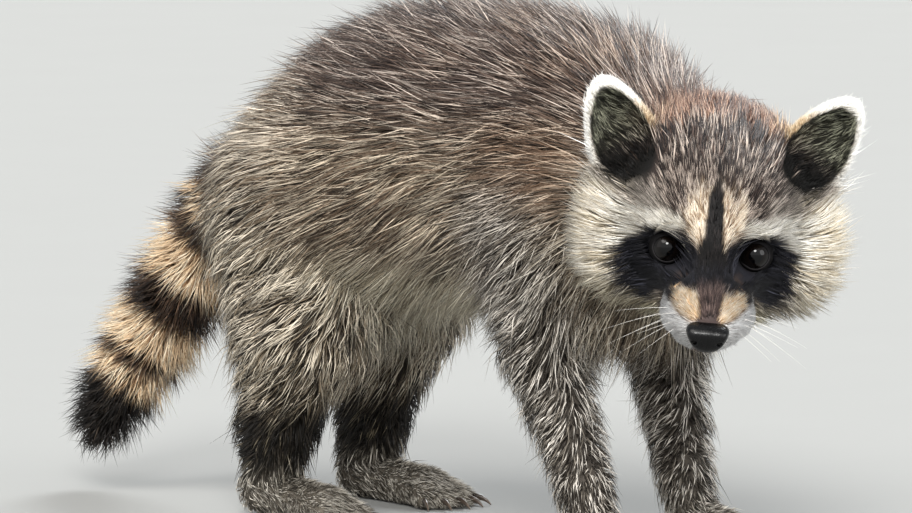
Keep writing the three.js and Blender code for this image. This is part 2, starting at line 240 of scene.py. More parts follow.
def head_shape(p):
    q = to_head(p)
    shapes = [
        ellipsoid(q, (0, 40, 12), (40, 44, 37)),
        ellipsoid(q, (0, 14, 14), (31, 26, 24)),
        ellipsoid(q, (0, 30, -20), (31, 32, 19)),
        cone(q, (0, 4, -8, 21), (0, -37, -19, 8.5)),
    ]
    for side in (1, -1):
        shapes.append(ellipsoid(q, (side * 34.5, 30, -4), (21.5, 24, 29.5)))
        shapes.append(ellipsoid(q, (side * 8.5, -26, -19.5), (9.5, 13, 8)))
    shapes.append(ellipsoid(q, (0, -18, -27), (8, 13, 4.5)))
    return soft_union(shapes, 12)


def head_depth(p):
    """How deep the coat lies on the head: thin on the face, deep in the cheeks' ruffs and the throat."""
    q = to_head(p)
    back = rise(q[..., 1], -14, 34)
    cheek = rise(np.abs(q[..., 0]), 22, 46) * rise(q[..., 1], 0, 30)
    throat = rise(-q[..., 2], 14, 34) * rise(q[..., 1], -4, 26)
    return 1.5 + 5 * back + 7 * cheek + 3 * throat


def ear_axes(side):
    root, tip = (np.array(point) * (side, 1, 1) for point in EAR_ENDS[side])
    upward = unit(tip - root)
    forward = np.array([0, -1, 0.0])
    forward = unit(forward - upward * (forward @ upward))
    across = np.cross(upward, forward)
    return (root + tip) / 2, np.stack([across, forward, upward], 1)


def ear_leaf(p, side, radii):
    """A solid leaf at an ear's place."""
    middle, axes = ear_axes(side)
    return ellipsoid(to_head(p), middle, radii, axes, EAR_NARROWING)


def ear_cup(p, side):
    """The hollow in an ear's front."""
    middle, axes = ear_axes(side)
    middle = middle + axes[:, 1] * EAR_CUP_FORWARD - axes[:, 2] * EAR_CUP_DOWN
    return ellipsoid(to_head(p), middle, EAR_CUP, axes, EAR_NARROWING)


def ear_shape(p, side):
    return soft_max(ear_leaf(p, side, EAR_LEAF), -ear_cup(p, side), 1.0)


def trunk_shape(p):
    return soft_union([ellipsoid(p, at, radii) for at, radii in TRUNK], 34)


def foot_shape(p, foot, side, back):
    sole = on_side(foot["sole"], side, back)
    x, y, z, r = sole[-1]
    total = soft_min(chain(p, sole, 3), ellipsoid(p, (x, y, z), (HALF_FOOT + 2.5, 12, r)), 5)
    for balls, _ in toe_balls(foot, side, back):
        total = soft_min(total, chain(p, balls, 1.5), 2)
    return total


def height_depth(heights, depths):
    return lambda p: np.interp(p[..., 2], heights, depths)


def tail_place(p):
    """How far along the tail each point is, from 0 at its base, in mm."""
    balls = np.array(TAIL)[:, :3]
    steps = np.diff(balls, axis=0)
    lengths = size(steps)
    best, place = np.full(p.shape[:-1], 1e9), np.zeros(p.shape[:-1])
    for start, step, length, before in zip(balls, steps, lengths, np.r_[0, np.cumsum(lengths)]):
        h = np.clip((p - start) @ step / length**2, 0, 1)
        d = size(p - start - h[..., None] * step)
        nearer = d < best
        best = np.where(nearer, d, best)
        place = np.where(nearer, before + h * length, place)
    return place


def along_chain(p, balls):
    """The direction of the chain's nearest stretches, from its first ball to its last."""
    total = 0.0
    for a, b in zip(balls, balls[1:]):
        weight = np.exp(-np.maximum(cone(p, a, b), -6) / 6)[..., None]
        total = total + weight * unit(np.array(b[:3]) - np.array(a[:3]))
    return total


def head_lie(p):
    """Hair leaves the nose and runs back over the face, and droops on the cheeks."""
    q = to_head(p)
    way = unit(q - (NOSE_AT + (0, 4, 2)))
    cheek = rise(np.abs(q[..., 0]), 20, 40)
    way = way + vectors(0, 0.35 * cheek, -0.3 * cheek)
    for side in (1, -1):
        away = from_eye(q, side)
        far = size(away)[..., None]
        way = way + 1.3 * np.exp(-(far - EYE_RADIUS) / 4) * away / far
    return way @ HEAD_TURN.T


def ear_place(p, side):
    """Where points are in an ear's own frame, how far out from its middle and how far outside its cup."""
    middle, axes = ear_axes(side)
    local = (to_head(p) - middle) @ axes
    local[:, 0] *= 1 + EAR_NARROWING * local[:, 2]
    outwards = np.hypot(local[:, 0] / EAR_LEAF[0], local[:, 2] / EAR_LEAF[2])
    return local, outwards, ear_cup(p, side)


def ear_lie(side):
    """Hair stands out round the rim, and within it sweeps up and outwards."""
    def lie(p):
        local, outwards, _ = ear_place(p, side)
        rim = rise(outwards, 0.7, 0.95)[:, None]
        radial = unit(vectors(local[:, 0], 0, np.maximum(local[:, 2], -6) + 8))
        way = radial * rim + unit(np.array([side * 0.5, 0, 1.0])) * (1 - rim)
        return way @ ear_axes(side)[1].T @ HEAD_TURN.T
    return lie


def trunk_lie(p):
    """Back along the spine, ever more downwards on the flanks and rump."""
    low = rise(190 - p[..., 2], 0, 90)
    rump = rise(p[..., 1], 40, 110)
    down = -(0.12 + 0.55 * low + 0.55 * rump)
    return vectors(0, 1, down)


def leg_lie(balls, foot_balls, sweep):
    """Down the leg, swept backwards higher up, and towards the toes on the foot."""
    def lie(p):
        way = unit(along_chain(p, balls)) + vectors(0, sweep * rise(p[..., 2], 12, 50), 0)
        toward_toes = unit(foot_balls[-1][:3] - foot_balls[0][:3]) + (0, 0, -0.25)
        share = rise(-p[..., 2], -26, -12)[..., None]
        return way * (1 - share) + toward_toes * share
    return lie


def mouth_line(q):
    """Height above the line of the mouth, which runs back and down from under the nose."""
    return q[..., 2] + 26.0 - 0.11 * (q[..., 1] + 40) + 0.012 * q[..., 0] ** 2


def carved(p, d):
    """The skin's own details: the eyes' sockets, the lids' openings, the mouth's groove and flat soles."""
    q = to_head(p)
    for side in (1, -1):
        away = from_eye(q, side)
        d = soft_max(d, EYE_RADIUS + 0.15 - size(away), 0.3)
        d = soft_max(d, -cone(away, (*gaze(side) * 2, 6.0), (*gaze(side) * 16, 13.0)), 1.0)
    groove = np.maximum(np.abs(mouth_line(q)) - 0.55, np.maximum(q[..., 1] + 13, -(d + 1.3)))
    d = soft_max(d, -groove, 0.4)
    return np.maximum(d, -p[..., 2])


# ------ the skin's mesh
def grid_lines(start, *stretches):
    """Grid lines from start on, through stretches that each give an end and a spacing."""
    lines = [np.array([float(start)])]
    for end, step in stretches:
        at = lines[-1][-1]
        lines.append(np.linspace(at, end, round((end - at) / step) + 1)[1:])
    return np.concatenate(lines)


def sampled(lines, shape, band, every=4):
    """A distance on a grid, exact only within a band of the surface and as on a coarse grid beyond."""
    coarse = [axis[np.minimum(np.arange(0, len(axis) + every, every), len(axis) - 1)] for axis in lines]
    spots = np.stack(np.meshgrid(*coarse, indexing="ij"), -1)
    rough = shape(spots.reshape(-1, 3)).reshape(spots.shape[:3])
    nearest = [np.round(np.arange(len(axis)) / every).astype(int) for axis in lines]
    field = rough[np.ix_(*nearest)].astype(np.float32)
    close = np.argwhere(np.abs(field) < band)
    field[tuple(close.T)] = shape(vectors(*(axis[i] for axis, i in zip(lines, close.T))))
    return field


def surface_net(lines, field):
    """The zero surface of a field as points and outward quads: a point for each cell that it crosses."""
    inside = field < 0
    cells_shape = tuple(n - 1 for n in field.shape)
    corners = [tuple(slice(o, o + n) for o, n in zip(corner, cells_shape))
               for corner in product((0, 1), repeat=3)]
    filled = sum(inside[corner].astype(np.uint8) for corner in corners)
    cells = np.argwhere((filled > 0) & (filled < 8))
    index = np.full(cells_shape, -1, np.int32)
    index[tuple(cells.T)] = np.arange(len(cells))
    total, hits = np.zeros((len(cells), 3)), np.zeros(len(cells))
    for axis in range(3):
        others = [i for i in range(3) if i != axis]
        for offsets in product((0, 1), repeat=2):
            a = cells.copy()
            a[:, others] += offsets
            b = a.copy()
            b[:, axis] += 1
            at_a, at_b = field[tuple(a.T)], field[tuple(b.T)]
            crossed = (at_a < 0) != (at_b < 0)
            share = (at_a / np.where(crossed, at_a - at_b, 1))[:, None]
            start, end = (vectors(*(line[i] for line, i in zip(lines, spot.T))) for spot in (a, b))
            total[crossed] += (start + share * (end - start))[crossed]
            hits += crossed
    quads = []
    for axis in range(3):
        step_b, step_c = np.eye(3, dtype=int)[(axis + 1) % 3], np.eye(3, dtype=int)[(axis + 2) % 3]
        lower = inside[tuple(slice(0, -1) if i == axis else slice(1, -1) for i in range(3))]
        upper = inside[tuple(slice(1, None) if i == axis else slice(1, -1) for i in range(3))]
        edges = np.argwhere(lower != upper) + step_b + step_c
        steps = (0, step_b, step_b + step_c, step_c)
        ring = vectors(*(index[tuple((edges - step).T)] for step in steps))
        outward = lower[tuple((edges - step_b - step_c).T)]
        quads.append(np.where(outward[:, None], ring, ring[:, ::-1]))
    return total / hits[:, None], np.concatenate(quads)


def point_normals(points, quads):
    across = np.cross(points[quads[:, 2]] - points[quads[:, 0]], points[quads[:, 3]] - points[quads[:, 1]])
    return unit(vectors(*(np.bincount(quads.ravel(), np.repeat(c, 4), len(points)) for c in across.T)))


def surface_of(lines, shape, band):
    """Points, quads and normals of the surface where a distance is zero."""
    points, quads = surface_net(lines, sampled(lines, shape, band))
    for _ in range(2):
        normals = point_normals(points, quads)
        points = points - normals * np.clip(shape(points), -0.6, 0.6)[:, None]
    return points, quads, point_normals(points, quads)


SKIN_LINES = (
    grid_lines(-108, (0, 1.25), (64, 1.9)),
    grid_lines(-244, (-140, 1.15), (-92, 1.5), (30, 3.2), (78, 2.0), (232, 3.0)),
    grid_lines(-1.05, (26, 1.3), (88, 2.4), (192, 1.15), (216, 2.6)),
)
SKIN_BAND = 13.0


# ------ markings, and painted shade at the ears' bases
def linear(rgb):
    c = np.array(rgb, float) / 255
    return np.where(c <= 0.04045, c / 12.92, ((c + 0.055) / 1.055) ** 2.4)


# a tone's columns: the colours of its dark, middle and pale hairs, and the shares of pale and dark ones
DARK, MID, PALE, SHARES = slice(0, 3), slice(3, 6), slice(6, 9), slice(9, 11)
TONE_WIDTH = SHARES.stop


def tone(dark, mid, pale, pale_share, dark_share):
    """The three colours of an area's hairs, and how many are pale or dark."""
    return np.concatenate([linear(dark), linear(mid), linear(pale), [pale_share, dark_share]])


TONES = {
    "back": tone((50, 39, 35), (116, 98, 88), (208, 194, 182), 0.30, 0.40),
    "flank": tone((58, 46, 36), (142, 121, 100), (230, 214, 190), 0.43, 0.29),
    "belly": tone((120, 110, 92), (198, 186, 162), (244, 236, 216), 0.50, 0.10),
    "rump": tone((64, 52, 42), (170, 149, 126), (244, 232, 214), 0.52, 0.22),
    "rufous": tone((50, 36, 26), (122, 92, 70), (196, 168, 142), 0.28, 0.34),
    "chest": tone((62, 52, 42), (140, 124, 104), (224, 211, 190), 0.42, 0.26),
    "foreleg": tone((50, 44, 38), (134, 126, 115), (232, 225, 215), 0.46, 0.32),
    "thigh": tone((46, 38, 30), (150, 135, 113), (242, 230, 210), 0.50, 0.30),
    "hock": tone((22, 18, 13), (50, 43, 34), (124, 114, 94), 0.16, 0.58),
    "foot": tone((66, 60, 52), (146, 139, 126), (226, 220, 208), 0.48, 0.22),
    "sole": tone((24, 20, 19), (34, 29, 28), (44, 38, 36), 0.30, 0.30),
    "tail_dark": tone((30, 21, 15), (72, 54, 41), (118, 92, 72), 0.18, 0.50),
    "tail_light": tone((188, 152, 116), (248, 220, 182), (254, 240, 214), 0.42, 0.06),
    "tail_tip": tone((20, 15, 12), (44, 36, 29), (84, 72, 60), 0.12, 0.66),
    "forehead": tone((28, 21, 20), (94, 78, 70), (216, 200, 186), 0.32, 0.44),
    "crown": tone((58, 36, 28), (134, 92, 70), (214, 172, 144), 0.36, 0.30),
    "cheek": tone((196, 182, 156), (234, 222, 200), (252, 247, 236), 0.46, 0.12),
    "brow": tone((164, 156, 142), (238, 232, 218), (254, 252, 246), 0.54, 0.14),
    "cream": tone((138, 108, 80), (236, 216, 188), (254, 246, 230), 0.50, 0.20),
    "stripe": tone((14, 12, 12), (28, 24, 24), (56, 48, 47), 0.15, 0.50),
    "mask": tone((18, 18, 24), (34, 34, 42), (62, 63, 74), 0.22, 0.38),
    "bridge": tone((48, 38, 36), (92, 74, 70), (150, 128, 120), 0.28, 0.32),
    "patch": tone((206, 164, 120), (250, 226, 190), (254, 248, 234), 0.42, 0.14),
    "lips": tone((170, 166, 164), (242, 241, 240), (255, 255, 255), 0.60, 0.12),
    "jaw": tone((92, 83, 66), (160, 148, 124), (226, 217, 194), 0.42, 0.18),
    "throat": tone((92, 86, 66), (160, 152, 126), (220, 212, 186), 0.45, 0.18),
    "ear_inner": tone((26, 26, 20), (62, 63, 50), (164, 166, 144), 0.32, 0.36),
    "ear_back": tone((44, 38, 33), (98, 86, 76), (176, 166, 152), 0.30, 0.32),
    "ear_rim": tone((232, 228, 220), (250, 248, 242), (254, 254, 252), 0.60, 0.05),
    "ear_edge": tone((168, 138, 100), (216, 190, 150), (244, 228, 198), 0.45, 0.15),
    # painted shade: near-black hairs low in each ear's hollow and in the crease before its base
    "ear_base": tone((4, 4, 3), (9, 8, 7), (18, 16, 14), 0.08, 0.60),
}


def laid(base, *layers):
    """Tones with others laid over them one after another, each by its share."""
    for name, share in layers:
        base = base + (TONES[name] - base) * np.asarray(share)[..., None]
    return base


def all_over(p, name):
    return np.broadcast_to(TONES[name], (len(p), TONE_WIDTH))


def body_tones(p):
    """Grizzled brown, greyer and paler down the flanks, with long pale hairs on the rump."""
    x, y, z = p.T
    drift = rise(noise(p, 22, 3), 0.0, 0.6) * rise(z, 115, 150) * (0.35 + 0.65 * rise(-y, 10, 60))
    return laid(
        all_over(p, "back"),
        ("flank", rise(188 - z, 0, 40)),
        ("rufous", 0.45 * drift),
        ("rufous", 0.75 * rise(-y, 48, 70) * rise(185 - z, 0, 25)),
        ("rump", rise(y, 35, 80) * rise(195 - z, 0, 30)),
        ("belly", rise(122 - z, 0, 26) * rise(y, -60, -20)),
        ("chest", rise(-y, 66, 90) * rise(150 - z, 0, 30)),
    )


def leg_tones(kind):
    def tones_at(p):
        z = p[:, 2]
        return laid(
            all_over(p, kind),
            ("hock", rise(50 - z, 0, 14) * (kind == "thigh")),
            ("foot", rise(24 - z, 0, 12)),
            ("sole", rise(1.6 - z, 0, 1.0)),
        )
    return tones_at


TAIL_RINGS = (40.5, 47, 63.5, 82, 101.5, 117, 125, 135)  # where dark turns to pale and back, along the tail


def tail_tones(p):
    place = tail_place(p) + 2.2 * noise(p, 5, 11)
    rings = zip(TAIL_RINGS[::2], TAIL_RINGS[1::2])
    pale = sum(rise(place, a - 2, a + 2) * rise(b - place, -2, 2) for a, b in rings)
    return laid(
        all_over(p, "tail_dark"),
        ("tail_tip", rise(place, 131, 138)),
        ("rump", rise(20 - place, -4, 5)),
        ("tail_light", pale),
    )


# the face's bounds, as pairs of a place and the bound there, in mm in the head's frame
MASK_TOP = ((5, 3), (7, 4), (8.5, 4.6), (10, 6.6), (13, 7.8), (19, 6.6), (24, 4.6), (28, 1.6), (36, -2.4),
            (40, -7))
MASK_LOW = ((5, -7), (10, -7.5), (13, -9.5), (15, -12), (16.5, -16.5), (20, -20), (23, -26), (29, -24),
            (31, -23), (35, -18), (37.4, -13.7), (40, -9))
BROW_TOP = ((10, 13), (15, 14.5), (22, 14), (30, 13.5), (36, 13.5), (46, 16))
LIPS_TOP = ((0, -17), (8, -17.5), (12, -15.4), (16, -13), (20, -13))
STRIPE_SIDE = ((-10, 4.8), (0, 5.4), (2, 5.7), (8, 4.1), (16, 3.5), (25, 2.2), (31, 0.8))
CREAM_SIDE = ((3, 6), (6.5, 8.9), (11, 12), (16, 12.2), (21, 11.3), (25.5, 10), (31, 8))
PATCH_SIDE = ((-18, 16), (-12, 15), (-7, 12.5))


def bound(place, pairs):
    return np.interp(place, *zip(*pairs))


def head_tones(p):
    """The face's pattern, and painted shade at the ears' bases, by the distance s from its middle plane, the
    place y along it and height z.
    """
    q = to_head(p)
    q = q + 0.9 * vectors(noise(q, 2.6, 21), 0, noise(q, 2.6, 22))
    s, y, z = np.abs(q[:, 0]), q[:, 1], q[:, 2]
    s = s + 2.2 * rise(q[:, 0], 22, 34)  # the ruff of the left cheek lies further over the mask
    streaks = noise(q * (1, 0.5, 0.25), 1.5, 23) + 0.5 * noise(q, 6, 24)
    mask_top, mask_low, brow_top, lips_top = (bound(s, b) for b in (MASK_TOP, MASK_LOW, BROW_TOP, LIPS_TOP))
    stripe_side, cream_side, patch_side = (bound(z, b) for b in (STRIPE_SIDE, CREAM_SIDE, PATCH_SIDE))
    below = rise(mask_low - z, -2, 3)
    band = rise(s, 10, 14) * rise(brow_top - z + 1.6 * streaks, -2, 2.5) * rise(z - mask_top, -1, 1.5)
    cream = rise(cream_side - s + 1.6 * streaks, -1.6, 1.6)
    cream = cream * rise(z, 2, 4) * rise(25 - z + 5 * streaks, -5, 8)
    lips = rise(-y, 9, 15) * rise(lips_top - z, -1, 1.5)
    patch = rise(-y, 17, 23) * rise(-8.5 - z, -1, 1)
    patch = patch * rise(z - lips_top, -1.5, 3.0) * rise(patch_side - s, -1.2, 1.2)
    mask = rise(26 - y, 0, 8) * rise(mask_top - z, -1, 1) * rise(z - mask_low, -1, 1)
    mask = mask * rise(39 - s, -1.5, 1.5)
    stripe = rise(stripe_side - s + 0.5 * streaks, -0.8, 0.8)
    stripe = stripe * rise(z, -4, 2) * rise(32 - z + 3 * streaks, -2, 7)
    # painted shade in the crease where the front of each ear's base meets the head
    ear_crease_shades = []
    for side in (1, -1):
        local, outwards, _ = ear_place(p, side)
        fold = rise(0.95 - outwards, -0.05, 0.1) * rise(local[:, 1], -4, -1) * rise(local[:, 2], -26, -22)
        ear_crease_shades.append(("ear_base", fold * rise(-8 - local[:, 2], -2, 2)))
    return laid(
        all_over(p, "forehead"),
        ("crown", 0.8 * rise(y, 22, 34) * rise(z, 34, 44)),
        ("brow", 0.32 * rise(s, 16, 26) * rise(brow_top + 10 - z + 3 * streaks, -4, 8)),
        ("cheek", rise(s, 33, 41) * rise(brow_top + 3 - z + 2 * streaks, -2, 6)),
        ("jaw", below * rise(s, 14, 20) * rise(-z, 14, 30) * (1 - 0.6 * rise(q[:, 0], 20, 30))),
        ("throat", rise(-z, 24, 32) * rise(30 - s, 0, 10)),
        ("brow", band * rise(46 - s, 0, 6)),
        ("cream", cream),
        ("lips", lips),
        ("patch", patch),
        ("mask", mask * (1 - patch) * (1 - lips)),
        ("stripe", stripe),
        *ear_crease_shades,
        ("bridge", rise(stripe_side - s, -0.9, 0.9) * rise(-5 - z, -2, 3) * rise(-y, 12, 20)),
    )


def ear_tones(side):
    def tones_at(p):
        local, outwards, cup = ear_place(p, side)
        front = rise(1.0 - cup, -0.3, 0.4)
        outer = rise(side * local[:, 0], -3, 6)
        thick = 0.04 * noise(p, 3, 31) + 0.05 * outer + 0.07 * rise(local[:, 2], 8, 16)
        rim = rise(outwards + thick, 0.91, 0.97) * rise(local[:, 2], -13, -6)
        white = rim * np.maximum(outer, rise(local[:, 2], 2, 13))
        # painted shade low in the ear's hollow
        base = front * rise(-local[:, 2], 1, 9)
        return laid(all_over(p, "ear_back"), ("ear_inner", front), ("ear_base", base), ("ear_edge", rim),
                    ("ear_rim", white))
    return tones_at


# ------ the parts joined
def part(name, shape, depth, lie, tones, low, high, k, outline=None, fade=6.0):
    """One part: distance, the coat's depth, lie and tones, its box and how softly it joins, all in mm.

    outline is the distance to its hair's outline, where that isn't its shape, and fade is how far off its
    hold on the coat's lie and tones wears off.
    """
    return dict(name=name, shape=shape, depth=depth, lie=lie, tones=tones, k=k, outline=outline or shape,
                fade=fade, low=np.array(low, float), high=np.array(high, float))


def flat_depth(value):
    return lambda p: np.full(p.shape[:-1], value)


def neck_lie(p):
    return vectors(0.12, 1, np.full(p.shape[:-1], -0.35))


def tail_depth(p):
    return np.interp(tail_place(p), [0, 100, 154], [12.5, 12.5, 9.5])


def body_parts():
    parts = [
        part("trunk", trunk_shape, flat_depth(12.5), trunk_lie, body_tones,
             (-75, -135, 60), (75, 130, 225), 1),
        part("neck", lambda p: chain(p, NECK, 1), flat_depth(13), neck_lie, body_tones,
             (-65, -190, 85), (60, -20, 215), 30),
        part("head", head_shape, head_depth, head_lie, head_tones, (-105, -245, 65), (50, -75, 200), 14),
        part("tail", lambda p: chain(p, TAIL, 6), tail_depth, lambda p: along_chain(p, TAIL), tail_tones,
             (-60, 75, 2), (40, 235, 175), 14),
    ]
    for side, word in ((-1, "right"), (1, "left")):
        for kind, colours, foot, heights, depths, k, k_body, sweep in (
            ("foreleg", "foreleg", FOREFOOT, (0, 14, 30, 60, 84, 120), (0.9, 1.1, 2.6, 5, 7, 11),
             6, 18, 0.9),
            ("hindleg", "thigh", HINDFOOT, (0, 14, 36, 60, 86, 120), (0.9, 1.2, 3.6, 7, 10, 12),
             10, 26, 1.1),
        ):
            name = f"{kind}_{word}"
            back = FOOT_BACK[name]
            balls = np.array(on_side(LEGS[name], side))
            sole = np.array(on_side(foot["sole"], side, back))
            lie, tones = leg_lie(balls, sole, sweep), leg_tones(colours)
            low = (balls[:, :3] - balls[:, 3:]).min(0) - 14
            high = (balls[:, :3] + balls[:, 3:]).max(0) + 14
            parts.append(part(name, lambda p, b=balls, k=k: chain(p, b, k), height_depth(heights, depths),
                              lie, tones, low, high, k_body))
            low = (sole[:, :3] - 15).min(0) - (6, 22, 0)
            high = (sole[:, :3] + 15).max(0) + (6, 0, 6)
            parts.append(part(f"{name}_foot", lambda p, f=foot, s=side, b=back: foot_shape(p, f, s, b),
                              flat_depth(0.8), lie, tones, low, high, 4, fade=2.5))
    for side, word in ((-1, "right"), (1, "left")):
        at = from_head(ear_axes(side)[0])
        parts.append(part(f"ear_{word}", lambda p, s=side: ear_shape(p, s), flat_depth(0.0), ear_lie(side),
                          ear_tones(side), at - 30, at + 30, 2.5,
                          lambda p, s=side: ear_leaf(p, s, EAR_COAT), 1.8))
    return parts


PARTS = body_parts()


def in_box(each, p):
    """Which of the points lie in a part's box."""
    return np.flatnonzero(np.all((p > each["low"]) & (p < each["high"]), axis=-1))


def distance(p, bare=True):
    """Signed distance to the bare skin, or to the outline of the coat over it. Far off it is only large."""
    total = np.full(len(p), FAR)
    for each in PARTS:
        near = in_box(each, p)
        d = each["shape"](p[near]) + each["depth"](p[near]) if bare else each["outline"](p[near])
        total[near] = soft_min(total[near], d, each["k"])
    return carved(p, total) if bare else total


def memberships(p):
    """How much each point of the skin belongs to each part, as rows that add up to one."""
    shares = np.zeros((len(p), len(PARTS)))
    for column, each in enumerate(PARTS):
        near = in_box(each, p)
        above = each["shape"](p[near]) + each["depth"](p[near])
        shares[near, column] = np.exp(-np.maximum(above, -8) / each["fade"])
    return shares / np.maximum(shares.sum(1, keepdims=True), 1e-9)


def mixed(shares, field, p, width):
    """A field of every part's own, mixed by membership."""
    total = np.zeros((len(p), width))
    for column, each in enumerate(PARTS):
        used = np.flatnonzero(shares[:, column] > 0.003)
        total[used] += shares[used, column, None] * each[field](p[used])
    return total


# ------ meshes
eye_box = np.array(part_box("eye_left")).mean(0) / MM
SHIFT = eye_box - from_head(EYE_NODE_AT)  # from the animal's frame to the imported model's


def placed(points):
    return (points + SHIFT) * MM


def added(name, data):
    thing = bpy.data.objects.new(name, data)
    bpy.context.scene.collection.objects.link(thing)
    return thing


def mesh_piece(name, points, faces, material, replaced, tints, uvs=None):
    """A smooth-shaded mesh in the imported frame, that rides with the body."""
    def fill(things, field, values, kind=np.float32):
        things.foreach_set(field, np.asarray(values).astype(kind).ravel())

    mesh = bpy.data.meshes.new(name)
    mesh.vertices.add(len(points))
    mesh.loops.add(faces.size)
    mesh.polygons.add(len(faces))
    fill(mesh.vertices, "co", placed(points))
    fill(mesh.loops, "vertex_index", faces, np.int32)
    fill(mesh.polygons, "loop_start", np.arange(0, faces.size, faces.shape[1]), np.int32)
    fill(mesh.polygons, "use_smooth", np.ones(len(faces)), bool)
    mesh.update(calc_edges=True)
    layer = mesh.color_attributes.new("tint", "FLOAT_COLOR", "POINT")
    fill(layer.data, "color", np.c_[tints, np.ones(len(tints))])
    if uvs is not None:
        fill(mesh.uv_layers.new(name="OFBake").data, "uv", uvs[faces.ravel()])
    mesh.materials.append(material)
    piece = added(name, mesh)
    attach(piece, "root")
    if replaced:
        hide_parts(*replaced)


# ------ materials
def noded(name):
    """A material, a maker of its nodes with values for their inputs, its linker and its shader's inputs."""
    material = bpy.data.materials.new(name)
    material.use_nodes = True
    tree = material.node_tree

    def node(kind, **values):
        made = tree.nodes.new(f"ShaderNode{kind}")
        for socket, value in values.items():
            made.inputs[socket.replace("_", " ")].default_value = value
        return made

    return material, node, tree.links.new, tree.nodes["Principled BSDF"].inputs


def tinted(name, roughness, strength, noises, bump, coat=0.0, specular=0.5):
    """A material whose colour is the mesh's own tint, varied by noise, with noisy roughness and bump.

    noises are the sizes in mm of the colour's, the roughness's and the bump's noise.
    """
    material, node, link, shader = noded(name)
    place = node("TexCoord").outputs["Object"]

    def noise_of(scale, detail):
        texture = node("TexNoise", Scale=1000 / scale, Detail=detail)
        link(place, texture.inputs["Vector"])
        return texture.outputs["Fac"]

    def ranged(value, low, high):
        steps = node("MapRange", From_Min=0.3, From_Max=0.7, To_Min=low, To_Max=high)
        link(value, steps.inputs["Value"])
        return steps.outputs["Result"]

    tint, shade = node("Attribute"), node("VectorMath")
    tint.attribute_name, shade.operation = "tint", "SCALE"
    link(tint.outputs["Color"], shade.inputs[0])
    link(ranged(noise_of(noises[0], 2), 1 - strength, 1 + strength), shade.inputs["Scale"])
    link(shade.outputs["Vector"], shader["Base Color"])
    link(ranged(noise_of(noises[1], 2), roughness - 0.08, roughness + 0.08), shader["Roughness"])
    relief = node("Bump", Strength=bump, Distance=noises[2] * MM * 0.5)
    link(noise_of(noises[2], 3), relief.inputs["Height"])
    link(relief.outputs["Normal"], shader["Normal"])
    shader["Specular IOR Level"].default_value = specular
    shader["Coat Weight"].default_value = coat
    shader["Coat Roughness"].default_value = 0.04
    return material


# ------ skin
skin_points, skin_quads, skin_normals = surface_of(SKIN_LINES, distance, SKIN_BAND)
skin_shares = memberships(skin_points)
skin_tones = mixed(skin_shares, "tones", skin_points, TONE_WIDTH)
# The skin takes its area's markings, darkened towards the colour of its darkest hairs as painted shade under
# the coat.
skin_tints = 0.85 * skin_tones[:, DARK] + 0.15 * skin_tones[:, MID]
eye_reach = np.min([size(from_eye(to_head(skin_points), side)) for side in (1, -1)], axis=0)
unlined = rise(eye_reach, 6.0, EYE_LINER)[:, None]
skin_tints = skin_tints * unlined + linear((14, 12, 13)) * (1 - unlined)
FLESH_WORDS = ("trunk", "neck", "head", "tail", "ear", "foreleg", "hindleg", "forefoot", "hindfoot")
FLESH = [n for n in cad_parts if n.split("_")[0] in FLESH_WORDS and "claw" not in n]
skin_material = tinted("skin", 0.72, 0.16, (3.0, 4.0, 0.8), 0.35, specular=0.3)
mesh_piece("skin", skin_points, skin_quads, skin_material, FLESH, skin_tints)

# ------ coat
skin_comb = laid_flat(unit(mixed(skin_shares, "lie", skin_points, 3)), skin_normals)
skin_depth = np.maximum(-distance(skin_points, bare=False), 0.5)
skin_triangles = np.concatenate([skin_quads[:, (0, 1, 2)], skin_quads[:, (0, 2, 3)]])
triangle_sides = [skin_points[skin_triangles[:, i]] - skin_points[skin_triangles[:, 0]] for i in (1, 2)]
triangle_areas = size(np.cross(*triangle_sides)) / 2


def share_of(word):
    """How much each skin point belongs to the parts whose names hold a word."""
    return skin_shares[:, [word in each["name"] for each in PARTS]].sum(1)


def bare_places():
    """Where no hair roots: eyes, lids, nose, mouth line and soles."""
    q = to_head(skin_points)
    bare = (skin_points[:, 2] < 1.2) | (ellipsoid(q, NOSE_AT, NOSE_RADII) < -0.8)
    bare |= (np.abs(mouth_line(q)) < 0.8) & (q[:, 1] < -13)
    for side in (1, -1):
        away = from_eye(q, side)
        bare |= (size(away) < EYE_RADIUS + 2) & (dot(unit(away), gaze(side)) > cos(radians(57)))
        bare |= size(away) < EYE_RADIUS + 0.6
    return bare


HAIRLESS = bare_places()


def scatter(rng, density, count):
    """Places spread over the skin by density: triangles and shares of their corners."""
    weights = density[skin_triangles].mean(1) * triangle_areas
    running = np.cumsum(weights)
    picks = (np.arange(count) + rng.random(count)) * running[-1] / count
    chosen = skin_triangles[np.minimum(np.searchsorted(running, picks), len(weights) - 1)]
    a, b = rng.random((2, count))
    beyond = a + b > 1
    a, b = np.where(beyond, 1 - a, a), np.where(beyond, 1 - b, b)
    return chosen, vectors(1 - a - b, a, b)


def grouped(ids, values):
    """For each row, the mean over the rows with its id."""
    counts = np.bincount(ids)
    return vectors(*(np.bincount(ids, column) / counts for column in values.T))[ids]


